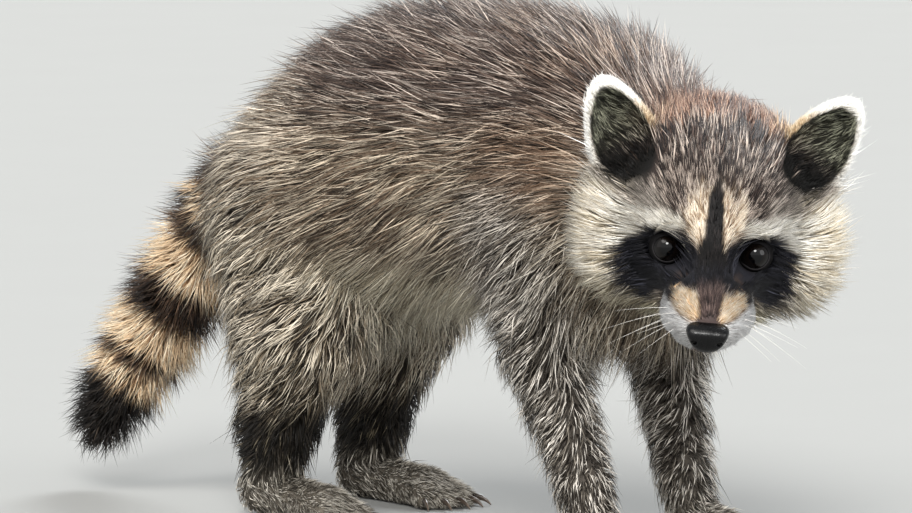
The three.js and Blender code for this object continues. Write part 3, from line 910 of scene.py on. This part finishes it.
def hair_paths(rng, roots, normals, comb, depth, style, under):
    """Bend and tip of every tuft, clumped with its neighbours, and the id of its clump."""
    count = len(roots)
    drift = vectors(*(noise(roots, style["clump"] * 1.3, seed) for seed in (40, 41, 42)))
    cells = np.floor((roots + style["clump"] * 0.45 * drift) / style["clump"]).astype(np.int64)
    _, ids = np.unique(cells, axis=0, return_inverse=True)
    ids = ids.ravel()
    clump_random = rng.random((ids.max() + 1, 3))[ids]
    stray = rng.random(count) < style["stray"]
    varied = 1 + 0.25 * rng.normal(size=count).clip(-2, 2) + 0.4 * (clump_random[:, 0] - 0.5)
    lift = np.clip(np.radians(style["lift"]) * varied * (1 + 0.5 * stray), 0.06, 1.2)
    reach = style["reach"] + style["ragged"] * (rng.random(count) - 0.6) + 0.3 * (clump_random[:, 1] - 0.5)
    reach = np.where(under, 0.6 * reach, reach + 0.2 * stray)
    reach += style["fringe"] * rise(-normals[:, 2], 0.0, 0.6)
    reach += style["feather"] * rise(normals[:, 1], 0.0, 0.8) * rng.random(count)
    length = np.clip((depth + style["proud"]) * reach / np.sin(lift), *style["length"])
    swirl = noise(roots, style["clump"] * 3, 51) + (clump_random[:, 2] - 0.5) * 1.2
    swirl = np.radians(style["swirl"]) * (swirl + 0.35 * rng.normal(size=count))
    across = np.cross(normals, comb)
    way = comb * np.cos(swirl)[:, None] + across * np.sin(swirl)[:, None]

    def raised(share, angle):
        """A share of the length on from the root, at an angle to the skin."""
        direction = way * np.cos(angle)[:, None] + normals * np.sin(angle)[:, None]
        return roots + share * length[:, None] * direction

    bends, tips = raised(0.45, np.minimum(lift * 1.8, 1.35)), raised(1, lift)
    if style["follow"]:
        aim = (reach - 1) * depth + style["proud"]
        for _ in range(2):
            gap = distance(tips, bare=False) - aim
            tips = tips - normals * (style["follow"] * np.clip(gap, -6, 9))[:, None]
    curl = length[:, None] * across
    bends = bends + 0.07 * rng.normal(size=(count, 1)) * curl
    tips = tips + 0.06 * rng.normal(size=(count, 1)) * curl
    gather = (style["gather"] * (0.55 + 0.45 * rng.random(count)) * np.where(stray, 0.2, 1))[:, None]
    bends = bends + (grouped(ids, bends) - bends) * gather * 0.4
    tips = tips + (grouped(ids, tips) - tips) * gather
    for points in (bends, tips):
        points[:, 2] = np.maximum(points[:, 2], LOWEST_HAIR)
    return bends, tips, ids


LOWEST_HAIR = 0.6  # mm over the ground
RING = np.array([(1.0, 0.4), (-1.0, 0.4), (0.0, -0.7)])  # a tuft's section: flat on the outer side


def tufts(roots, bends, tips, normals, width, segments):
    """Closed tapering tufts along curves: points as (tuft, ring, corner) then tips, and triangles."""
    count = len(roots)
    along = np.arange(segments) / segments
    taper = width[:, None] * (1 - 0.25 * along - 0.5 * along**2)[None, :]
    t = along[None, :, None]
    centres = curve(roots[:, None], bends[:, None], tips[:, None], t)
    tangents = unit((1 - t) * (bends - roots)[:, None] + t * (tips - bends)[:, None])
    across = unit(np.cross(tangents, normals[:, None]))
    above = np.cross(across, tangents)
    rings = centres[:, :, None] + taper[:, :, None, None] / 2 * (
        RING[:, 0, None] * across[:, :, None] + RING[:, 1, None] * above[:, :, None])
    points = np.concatenate([rings.reshape(count, -1, 3), tips[:, None]], axis=1)
    faces = [(0, 2, 1)]
    for ring in range(segments - 1):
        for corner in range(3):
            a, b = 3 * ring + corner, 3 * ring + (corner + 1) % 3
            faces += [(a, b, b + 3), (a, b + 3, a + 3)]
    last = 3 * (segments - 1)
    faces += [(last + corner, last + (corner + 1) % 3, last + 3) for corner in range(3)]
    each = points.shape[1]
    triangles = np.array(faces)[None] + (np.arange(count) * each)[:, None, None]
    return points, triangles.reshape(-1, 3), np.r_[along, 1.0]


def tuft_tints(rng, tones, ids, along):
    """Banded hair colours: pale, mid or dark hairs, in drifts shared by a clump, dark at the root."""
    dark, mid, pale = tones[:, DARK], tones[:, MID], tones[:, PALE]
    pale_share, dark_share = tones[:, SHARES].T
    luck = 0.62 * rng.random(len(tones)) + 0.38 * rng.random(ids.max() + 1)[ids]
    luck = np.clip((luck - 0.5) * 1.15 + 0.5, 0, 1)
    is_pale, is_dark = luck < pale_share, luck > 1 - dark_share
    stops = np.stack([0.7 * dark + 0.1 * mid, 0.5 * dark + 0.5 * mid, mid, 0.85 * mid], 1)
    pale_stops = np.stack([0.6 * dark + 0.3 * mid, 0.45 * mid + 0.55 * pale, pale, 0.95 * pale], 1)
    dark_stops = np.stack([0.6 * dark, 0.85 * dark, dark, 0.8 * dark], 1)
    stops[is_pale], stops[is_dark] = pale_stops[is_pale], dark_stops[is_dark]
    stops *= (0.88 + 0.24 * rng.random((len(tones), 1, 1)))
    place = np.clip(along * 3, 0, 2.999)
    low, part_way = place.astype(int), (place - place.astype(int))[None, :, None]
    return stops[:, low] * (1 - part_way) + stops[:, low + 1] * part_way


ROOT_SUNK = 0.35  # mm, how deep a tuft starts in the skin
PATCH = 0.003  # the size of a tuft's patch of the UV map


def coat_piece(name, density, count, segments, style, material, slot, unwrap, seed):
    rng = np.random.default_rng(seed)
    chosen, corners = scatter(rng, density * ~HAIRLESS, count)

    def at_roots(values):
        return np.einsum("ij,ij...->i...", corners, values[chosen])

    roots, depth = at_roots(skin_points), at_roots(skin_depth)
    normals = unit(at_roots(skin_normals))
    comb = laid_flat(unit(at_roots(skin_comb)), normals)
    under = rng.random(count) < style["under"]
    bends, tips, ids = hair_paths(rng, roots, normals, comb, depth, style, under)
    middles = 0.15 * roots + 0.35 * bends + 0.5 * tips
    tones = mixed(at_roots(skin_shares), "tones", middles, TONE_WIDTH)
    width = style["width"] * (0.7 + 0.6 * rng.random(count)) * np.where(under, 1.7, 1)
    tones = laid(tones, ("mask", rise(EYE_LINER - at_roots(eye_reach), 0, 1)))
    tones[under, SHARES] = tones[under, SHARES] * (0.25, 0) + (0, 0.6)  # underfur is mostly dark
    keep = clear_of_eyes(bends) & clear_of_eyes(tips)
    if slot != "coat_ear":
        low = -22 if segments > 1 else -16
        keep &= clear_of_ears(tips, low) & clear_of_ears(bends, low)
    kept = (values[keep] for values in (roots, bends, tips, normals, width, tones, ids))
    roots, bends, tips, normals, width, tones, ids = kept
    points, faces, along = tufts(roots - ROOT_SUNK * normals, bends, tips, normals, width, segments)
    stops = tuft_tints(rng, tones, ids, along)
    tints = np.concatenate([np.repeat(stops[:, :-1], 3, axis=1), stops[:, -1:]], 1)
    spot = unwrap(roots)
    spot = 0.004 + 0.99 * (spot - spot.min(0)) / np.ptp(spot, axis=0)
    across = np.r_[np.tile([0.5, -0.5, 0.0], segments), 0.0] * PATCH
    up = (np.r_[np.repeat(along[:-1], 3), 1.0] - 0.5) * PATCH
    uvs = spot[:, None] + vectors(across, up)
    points, tints, uvs = (values.reshape(-1, values.shape[-1]) for values in (points, tints, uvs))
    mesh_piece(name, points, faces, material, (), tints, uvs)


def clear_of_eyes(p):
    """False for points in front of an eye's opening."""
    q = to_head(p)
    clear = np.ones(len(p), bool)
    for side in (1, -1):
        away = from_eye(q, side)
        ahead = dot(away, gaze(side))
        off_axis = size(away - ahead[:, None] * gaze(side))
        clear &= ~((ahead > 0) & (off_axis < 5.9 + 0.25 * np.maximum(ahead - 4, 0)) & (ahead < 25))
    return clear


def clear_of_ears(p, low):
    """False for points in front of an ear's cup, down to a height in the ear's own frame."""
    clear = np.ones(len(p), bool)
    for side in (1, -1):
        local, outwards, _ = ear_place(p, side)
        clear &= ~((outwards < 0.92) & (local[:, 1] > -2) & (local[:, 1] < 30) & (local[:, 2] > low))
    return clear


# where roots lie on an unwrap of each part's own shape
def around(across, up, along):
    return vectors(np.arctan2(across, up), along)


def around_trunk(p):
    return around(p[:, 0], p[:, 2] - 140, p[:, 1] / 60)


def around_head(p):
    q = to_head(p)
    return around(q[:, 0], q[:, 2] + 4, q[:, 1] / 40)


def around_leg(heights, places):
    """Round a leg whose middle lies at these places along y at these heights."""
    def unwrapped(p):
        middle = np.interp(p[:, 2], heights, places)
        return around(p[:, 0] - np.mean(p[:, 0]), p[:, 1] - middle, p[:, 2] / 30)
    return unwrapped


def around_tail(p):
    middle = np.interp(p[:, 1], (112, 201), (0, -30))
    return around(p[:, 0] - middle, p[:, 1] + p[:, 2] - 265, tail_place(p) / 30)


def across_feet(p):
    return p[:, :2] / 50


def across_ear(p):
    q = to_head(p)
    return vectors(q[:, 0] + 60 * (q[:, 1] > 35), q[:, 2])


def style(width, lift, length, clump, gather, **others):
    """How a stretch of coat is made; lengths in mm, angles in degrees, the rest as shares.

    length is a range, clump and gather say how wide the clumps are and how far they close, swirl turns the
    lie, reach and ragged say how far the hair stands out of its depth, fringe and feather how much further
    it does below and behind, proud how far it stands past the outline, follow how closely it keeps to the
    outline, and under and stray how many are underfur or stand off.
    """
    usual = dict(swirl=14, reach=1.0, ragged=0.6, follow=0.8, under=0.25, stray=0.07, fringe=0, feather=0,
                 proud=0)
    return usual | dict(width=width, lift=lift, length=length, clump=clump, gather=gather) | others


def half(values, sign):
    """One for the points whose value has this sign, and zero for the others."""
    return rise(sign * values, -0.01, 0.01)


def coats():
    x, y, _ = skin_points.T
    head_x = to_head(skin_points)[:, 0]
    fur = tinted("coat_fur", 0.55, 0.10, (1.2, 3.0, 0.5), 0.1, specular=0.35)
    face_fur = tinted("coat_face_fur", 0.6, 0.08, (0.9, 2.0, 0.4), 0.1, specular=0.3)
    short = style(0.38, 17, (1.6, 7.0), 2.4, 0.4, swirl=10, reach=0.95, ragged=0.4, under=0, stray=0.03)
    crown = style(0.42, 25, (4.0, 24.0), 3.8, 0.66, swirl=16, reach=1.1, under=0.15, proud=1.0)
    body = style(0.54, 30, (8.0, 38.0), 5.0, 0.62, swirl=22, reach=0.95, ragged=1.2, stray=0.14, fringe=0.3,
                 proud=2.0)
    nape = style(0.5, 33, (8.0, 36.0), 4.4, 0.6, swirl=20, ragged=1.0, stray=0.12, proud=1.5)
    limb = style(0.44, 34, (3.0, 28.0), 3.6, 0.58, swirl=26, reach=0.95, ragged=1.2, stray=0.16, feather=1.1,
                 proud=2.2)
    thigh = limb | dict(width=0.5, lift=27, clump=5.6, gather=0.72, length=(3.0, 36.0), feather=0.7)
    brush = style(0.44, 54, (6.0, 22.0), 3.6, 0.4, swirl=32, ragged=1.0, stray=0.2, proud=1.5)
    foot = style(0.46, 24, (4.0, 9.0), 2.8, 0.5, reach=1.05, under=0, stray=0.05, proud=1.2)
    leaf = style(0.24, 20, (2.6, 7.0), 2.2, 0.35, reach=1.05, follow=0, under=0, stray=0.02)
    fluff = style(0.24, 50, (2.2, 4.8), 1.8, 0.2, swirl=22, reach=1.05, follow=0, under=0, stray=0.03)
    around_foreleg = around_leg((20, 80), (-98, -78))
    around_hindleg = around_leg((12, 36, 86, 122), (88, 81, 62, 76))
    head, front = share_of("head"), 1 - rise(skin_depth, 2.6, 4.6)
    long_haired = head * rise(eye_reach, 11, 15) * rise(skin_depth, 2.0, 4.0)

    coat_piece("coat_face", head * front, 36000, 1, short, face_fur, "coat_face", around_head, 101)
    for number, (word, side) in enumerate((("left", 1), ("right", -1))):
        coat_piece(f"coat_head_{word}", long_haired * half(head_x, side), 9500, 2, crown, face_fur,
                   "coat_face", around_head, 110 + number)
        ear, rim = share_of(f"ear_{word}"), rise(ear_place(skin_points, side)[1], 0.84, 0.92)
        coat_piece(f"coat_ear_{word}", ear * (1 - 0.8 * rim), 4000, 2, leaf, face_fur, "coat_ear",
                   across_ear, 120 + number)
        coat_piece(f"coat_ear_rim_{word}", ear * rim, 4500, 1, fluff, face_fur, "coat_ear", across_ear,
                   124 + number)
        for leg, count, hair, unwrap, seed in (("foreleg", 6500, limb, around_foreleg, 130),
                                               ("hindleg", 7500, thigh, around_hindleg, 140)):
            share = share_of(f"{leg}_{word}") - share_of(f"{leg}_{word}_foot")
            coat_piece(f"coat_{leg}_{word}", share, count, 2, hair, fur, "coat_leg", unwrap, seed + number)
        for row, (end, sign) in enumerate((("front", -1), ("rear", 1))):
            quarter = share_of("trunk") * half(x, side) * half(y, sign)
            coat_piece(f"coat_{end}_{word}", quarter, 12000, 2, body, fur, "coat_body", around_trunk,
                       150 + 2 * number + row)
    coat_piece("coat_neck", share_of("neck"), 12000, 2, nape, fur, "coat_body", around_trunk, 160)
    coat_piece("coat_tail", share_of("tail"), 13500, 2, brush, fur, "coat_tail", around_tail, 161)
    coat_piece("coat_feet", share_of("_foot"), 16000, 1, foot, fur, "coat_foot", across_feet, 162)


coats()


# ------ eyes and lids
def grid(rows, columns, cell_rows):
    """The numbers of the points at the four corners of every cell between rows of points."""
    row, column = np.meshgrid(np.arange(cell_rows), np.arange(columns), indexing="ij")
    after, beside = (row + 1) % rows * columns, (column + 1) % columns
    row = row * columns
    return (corner.ravel() for corner in (row + column, row + beside, after + beside, after + column))


def closed_grid(rows, columns):
    """Quads over rows of points, where each row and each column closes on itself."""
    a, b, c, d = grid(rows, columns, rows)
    return vectors(a, d, c, b)


def tube_faces(rows, columns):
    """Triangles over rows of points round an axis, with a first and a last point as the caps."""
    a, b, c, d = grid(rows, columns, rows - 1)
    ring, turned = np.arange(columns), (np.arange(columns) + 1) % columns
    first, last, base = rows * columns, rows * columns + 1, (rows - 1) * columns
    sides = (a, b, c), (a, c, d)
    ends = (turned, ring, ring * 0 + first), (base + ring, base + turned, ring * 0 + last)
    return np.concatenate([vectors(*corners) for corners in sides + ends])


def gaze_axes(side):
    """Inwards along the face, upwards and out of the eye."""
    out = gaze(side)
    inwards = unit(np.cross(out, (0, 0, 1)) * side)
    return inwards, unit(np.array([0, 0, 1.0]) - out * out[2]), out


def round_eye(side, turns, polar, radius):
    """Points round an eye's axis by angle about it, angle from it and distance from the eye's middle."""
    inwards, upwards, out = gaze_axes(side)
    ring = np.cos(turns)[:, None] * inwards + np.sin(turns)[:, None] * upwards
    way = np.cos(polar)[..., None] * out + np.sin(polar)[..., None] * ring
    return radius * way + EYE_AT * (side, 1, 1)


PUPIL, IRIS = 23, 45  # degrees from the eye's axis
LID_OPENING = 50


def eyeball(side, word):
    """A glossy ball with a slightly bulging cornea over a dark iris."""
    columns, polar = 64, np.radians(np.r_[np.linspace(3, 60, 30), np.linspace(66, 176, 16)])
    turns = np.arange(columns) / columns * 2 * pi
    radius = EYE_RADIUS + 0.35 * rise(np.cos(polar), cos(radians(IRIS + 3)), 1)
    points = round_eye(side, turns, polar[:, None], radius[:, None, None])
    ends = np.outer((radius[0], -EYE_RADIUS), gaze(side)) + EYE_AT * (side, 1, 1)
    points = np.concatenate([points.reshape(-1, 3), ends])
    angle = np.degrees(np.r_[np.repeat(polar, columns), 0, pi])
    streak = 0.6 + 0.4 * np.sin(np.r_[np.tile(turns, len(polar)), 0, 0] * 34)
    pupil, iris, white = linear((2, 2, 3)), linear((14, 9, 7)), linear((8, 7, 7))
    tints = pupil + (iris * streak[:, None] - pupil) * rise(angle, PUPIL - 1, PUPIL + 1)[:, None]
    tints = tints + (white - tints) * rise(angle, IRIS - 1, IRIS + 2)[:, None]
    faces = tube_faces(len(polar), columns)[:, ::side]
    mesh_piece(f"eye_{word}_ball", from_head(points), faces, EYE_GLASS, (f"eye_{word}",), tints)


LID_BEAD = (  # its section: degrees beyond the opening, mm above the ball and how pale it is
    (0, 0.1, 0.6), (0.5, 0.2, 1.0), (2, 0.35, 0.4), (5, 0.5, 0.05), (12, 0.6, 0), (24, 0.6, 0), (40, 0.5, 0),
    (58, 0.1, 0), (56, -0.5, 0), (12, -0.25, 0), (4, -0.15, 0.2),
)


def towards(turns, middle, width):
    """One in a direction about the eye's axis, and less further from it."""
    return np.exp(-((np.angle(np.exp(1j * (turns - radians(middle)))) / width) ** 2))


def lids(side, word):
    """The lids' margins round an eye: a smooth bead over the ball, drawn out to the inner corner."""
    columns = 96
    turns = np.arange(columns) / columns * 2 * pi
    corner, outer = towards(turns, -22, 0.34), towards(turns, 172, 0.4)
    opening = LID_OPENING + 12 * corner + 3 * outer - 3 * np.clip(np.sin(turns), 0, 1)
    points = np.concatenate([round_eye(side, turns, np.radians(opening + beyond), EYE_RADIUS + above)
                             for beyond, above, _ in LID_BEAD])
    lower = rise(-np.sin(turns + 0.5), -0.2, 0.6) * (1 - 0.9 * corner)
    edge = np.outer([pale for _, _, pale in LID_BEAD], lower).reshape(-1, 1)
    dark, pale = linear((9, 8, 9)), linear((112, 108, 110))
    tints = dark + (pale - dark) * 0.15 * edge
    faces = closed_grid(len(LID_BEAD), columns)[:, ::-side]
    mesh_piece(f"lids_{word}", from_head(points), faces, LID_SKIN, (), tints)


# ------ nose, whiskers and claws
def nose_shape(q):
    """The pad in the head's frame, with its wings, nostrils and middle groove."""
    p = q - NOSE_AT
    folded = np.abs(p[:, 0:1]) * (1, 0, 0) + p * (0, 1, 1)
    d = ellipsoid(p, (0, 0, 0), (8.3, 6.4, 6.1))
    d = soft_min(d, ellipsoid(folded, (4.9, -0.6, 0.4), (3.7, 5.0, 4.6)), 2.0)
    for points, facing, out, k in ((p, (0, -1, -0.12), 5.8, 2.6), (p, (0, -0.35, 1), 5.2, 2.2),
                                   (folded, (0.86, 0, -0.5), 6.7, 2.2)):
        d = soft_max(d, dot(points, unit(np.array(facing))) - out, k)
    nostril = ellipsoid(folded, (5.0, -4.8, -1.8), (1.3, 2.2, 0.9))
    slit = cone(folded, (5.4, -4.7, -1.9, 0.7), (7.6, -2.2, -3.4, 0.4))
    groove = cone(p, (0, -6.3, 0.8, 0.35), (0, -5.0, -6.4, 0.6))
    d = soft_max(d, -soft_min(nostril, slit, 0.6), 0.7)
    return soft_max(d, -groove, 0.9)


def nose():
    reach = NOSE_RADII + 1.5
    lines = tuple(np.arange(at - r, at + r, 0.36) for at, r in zip(NOSE_AT, reach))
    points, quads, _ = surface_of(lines, nose_shape, 4.0)
    # painted shade: points deeper inside the pad's ellipsoid, in the nostrils and the middle groove, are
    # darkened down to 0.3 of its black
    depth = ellipsoid(points, NOSE_AT, NOSE_RADII)
    tints = linear((4, 4, 5)) * (0.3 + 0.7 * rise(depth, -1.6, -0.5))[:, None]
    mesh_piece("nose_skin", from_head(points), quads, NOSE_SKIN, ("nose",), tints)


def tapered(path, radii, columns):
    """Points and triangles of a closed round tube with its own radius at each point of its path."""
    path = np.asarray(path, float)
    tangents = unit(np.gradient(path, axis=0))
    across = unit(np.cross(tangents, (0.13, 0.21, 0.97)))
    above = np.cross(across, tangents)
    turns = np.arange(columns) / columns * 2 * pi
    ring = np.cos(turns)[None, :, None] * across[:, None] + np.sin(turns)[None, :, None] * above[:, None]
    points = path[:, None] + np.asarray(radii)[:, None, None] * ring
    ends = [path[0] - tangents[0] * radii[0] * 0.6, path[-1] + tangents[-1] * radii[-1] * 1.2]
    return np.concatenate([points.reshape(-1, 3), ends]), tube_faces(len(path), columns)


def joined(shapes):
    """Many shapes' points and faces as one."""
    counts = np.cumsum([0] + [len(points) for points, _ in shapes])
    faces = [faces + count for (_, faces), count in zip(shapes, counts)]
    return np.concatenate([points for points, _ in shapes]), np.concatenate(faces)


WHISKER_ROWS = ((-16.0, 2), (-18.2, 3), (-20.6, 3))  # height in the head's frame and count


def whiskers():
    """Fine pale whiskers that leave the pads sideways and droop back."""
    rng = np.random.default_rng(31)
    shapes = []
    for side in (1, -1):
        for height, count in WHISKER_ROWS:
            for number in range(count):
                place = side * (9.5 + 1.9 * number), -36 + 3.9 * number
                root = np.array([*place, height + 0.3 * rng.normal()])
                length = 19 + 4.5 * number + 2 * rng.normal()
                rising = -0.12 + 0.09 * (height + 16) + 0.08 * rng.normal()
                way = unit(np.array([side * (0.95 + 0.1 * number), -0.34 + 0.16 * number, rising]))
                droop = np.array([0, 0.34, -0.2 - 0.1 * rng.random()])
                t = np.linspace(0, 1, 9)[:, None]
                path = root + way * length * t + droop * length * t**2 * 0.55
                shapes.append(tapered(path, 0.075 * (1 - 0.8 * t[:, 0]), 5))
    points, faces = joined(shapes)
    tints = np.tile(linear((236, 233, 226)), (len(points), 1))
    mesh_piece("whiskers", from_head(points), faces, WHISKER_HAIR, (), tints)


def claws():
    """Twenty curved claws, flat from side to side, each from inside its toe to just over the ground."""
    shapes, names = [], []
    t = np.linspace(0, 1, 9)[:, None]
    radii = CLAW_ROOT * (1 - 0.8 * t[:, 0] ** 1.4)
    for side, word in ((-1, "right"), (1, "left")):
        for kind, foot in (("fore", FOREFOOT), ("hind", HINDFOOT)):
            for number, (balls, way) in enumerate(toe_balls(foot, side, FOOT_BACK[f"{kind}leg_{word}"])):
                tip = foot["tip"]
                reaches = (tip - CLAW_BURY, tip + CLAW_LENGTH * 0.36, tip + CLAW_LENGTH * 0.8)
                heights = (tip + 0.6, tip + 0.9, CLAW_TIP + 0.35)
                root, knuckle, point = (np.array([*(balls[-1][:3] + way * reach)[:2], height])
                                        for reach, height in zip(reaches, heights))
                points, faces = tapered(curve(root, knuckle, point, t), radii, 10)
                across = np.cross(way, (0, 0, 1))
                points = points - 0.35 * dot(points - root, across)[:, None] * across
                shapes.append((points, faces))
                names.append(f"{kind}foot_{word}_claw_{number + 1}")
    points, faces = joined(shapes)
    shade = np.tile(np.r_[np.repeat(t[:, 0], 10), 0, 1], len(shapes))[:, None]
    tints = linear((30, 24, 21)) * (1 - shade) + linear((92, 78, 66)) * shade
    mesh_piece("claws", points, faces, CLAW_HORN, names, tints)


EYE_GLASS = tinted("eye_glass", 0.06, 0.08, (0.8, 2.0, 3.0), 0.0, specular=0.26)
LID_SKIN = tinted("lid_skin", 0.7, 0.15, (0.8, 1.0, 0.5), 0.25, specular=0.08)
NOSE_SKIN = tinted("nose_skin", 0.26, 0.2, (1.0, 1.5, 0.55), 0.3, specular=0.26)
WHISKER_HAIR = tinted("whisker_hair", 0.3, 0.05, (3.0, 3.0, 1.0), 0.05)
CLAW_HORN = tinted("claw_horn", 0.32, 0.2, (1.2, 1.5, 0.6), 0.2, coat=0.2)
for eye_side, eye_word in ((-1, "right"), (1, "left")):
    eyeball(eye_side, eye_word)
    lids(eye_side, eye_word)
nose()
whiskers()
claws()


# ------ stage, light and camera
CAMERA_AZIMUTH, CAMERA_ELEVATION = radians(-42.0), radians(7.5)
CAMERA_DISTANCE = 3368.0  # mm
LENS_IN_PIXELS, FRAME_WIDTH = 8320.0, 912
AIM_ASIDE, AIM_ABOVE = 18.7, 272.0  # pixels from the animal's origin to the middle of the frame
SENSOR = 36.0  # mm


def on_compass(azimuth, elevation):
    """The unit vector towards an azimuth and an elevation, in radians."""
    return np.array([sin(azimuth) * cos(elevation), -cos(azimuth) * cos(elevation), sin(elevation)])


def aimed(thing, target):
    way = Vector(target) - thing.location
    thing.rotation_euler = way.to_track_quat("-Z", "Y").to_euler()


def camera():
    back = on_compass(CAMERA_AZIMUTH, CAMERA_ELEVATION)
    right = np.array([cos(CAMERA_AZIMUTH), sin(CAMERA_AZIMUTH), 0])
    pixel = CAMERA_DISTANCE / LENS_IN_PIXELS
    target = (np.cross(back, right) * AIM_ABOVE - right * AIM_ASIDE) * pixel
    data = bpy.data.cameras.new("camera")
    data.sensor_width = SENSOR
    data.lens = LENS_IN_PIXELS / FRAME_WIDTH * SENSOR
    data.clip_end = 50
    view = added("camera", data)
    view.location = placed(back * CAMERA_DISTANCE)
    aimed(view, placed(target))
    bpy.context.scene.camera = view


def soft_sun(name, azimuth, elevation, strength, spread, tint=(1, 1, 1)):
    """A broad distant light from a compass direction, so that the floor is evenly lit."""
    data = bpy.data.lights.new(name, "SUN")
    data.energy, data.color, data.angle = strength, tint, radians(spread)
    light = added(name, data)
    light.location = 2 * on_compass(radians(azimuth), radians(elevation))
    aimed(light, (0, 0, 0))


HALF_FLOOR = 12.0  # m


def studio():
    mesh = bpy.data.meshes.new("floor")
    corners = [(x * HALF_FLOOR, y * HALF_FLOOR, 0) for x, y in ((-1, -1), (1, -1), (1, 1), (-1, 1))]
    mesh.from_pydata(corners, [], [(0, 1, 2, 3)])
    floor = added("floor", mesh)
    material, node, link, shader = noded("floor_paper")
    shade = node("MapRange", To_Min=0.85, To_Max=0.95)
    link(node("TexNoise", Scale=300).outputs["Fac"], shade.inputs["Value"])
    link(shade.outputs["Result"], shader["Roughness"])
    shader["Base Color"].default_value = (0.28, 0.283, 0.275, 1)
    mesh.materials.append(material)
    world = bpy.data.worlds.new("studio")
    world.use_nodes = True
    sky = world.node_tree.nodes["Background"].inputs
    sky["Color"].default_value = (0.95, 0.97, 1.0, 1)
    sky["Strength"].default_value = 0.6
    bpy.context.scene.world = world
    soft_sun("key", -43, 31, 2.6, 18, (1.0, 0.99, 0.97))
    soft_sun("top", -78, 55, 1.9, 40, (1.0, 0.97, 0.93))
    soft_sun("rim", 115, 42, 2.4, 24, (0.95, 0.98, 1.0))
    soft_sun("fill", 15, 15, 1.4, 40)
    soft_sun("bounce", -60, 4, 2.0, 140, (1.0, 0.98, 0.94))
    bpy.context.scene.view_settings.view_transform = "Standard"


camera()
studio()
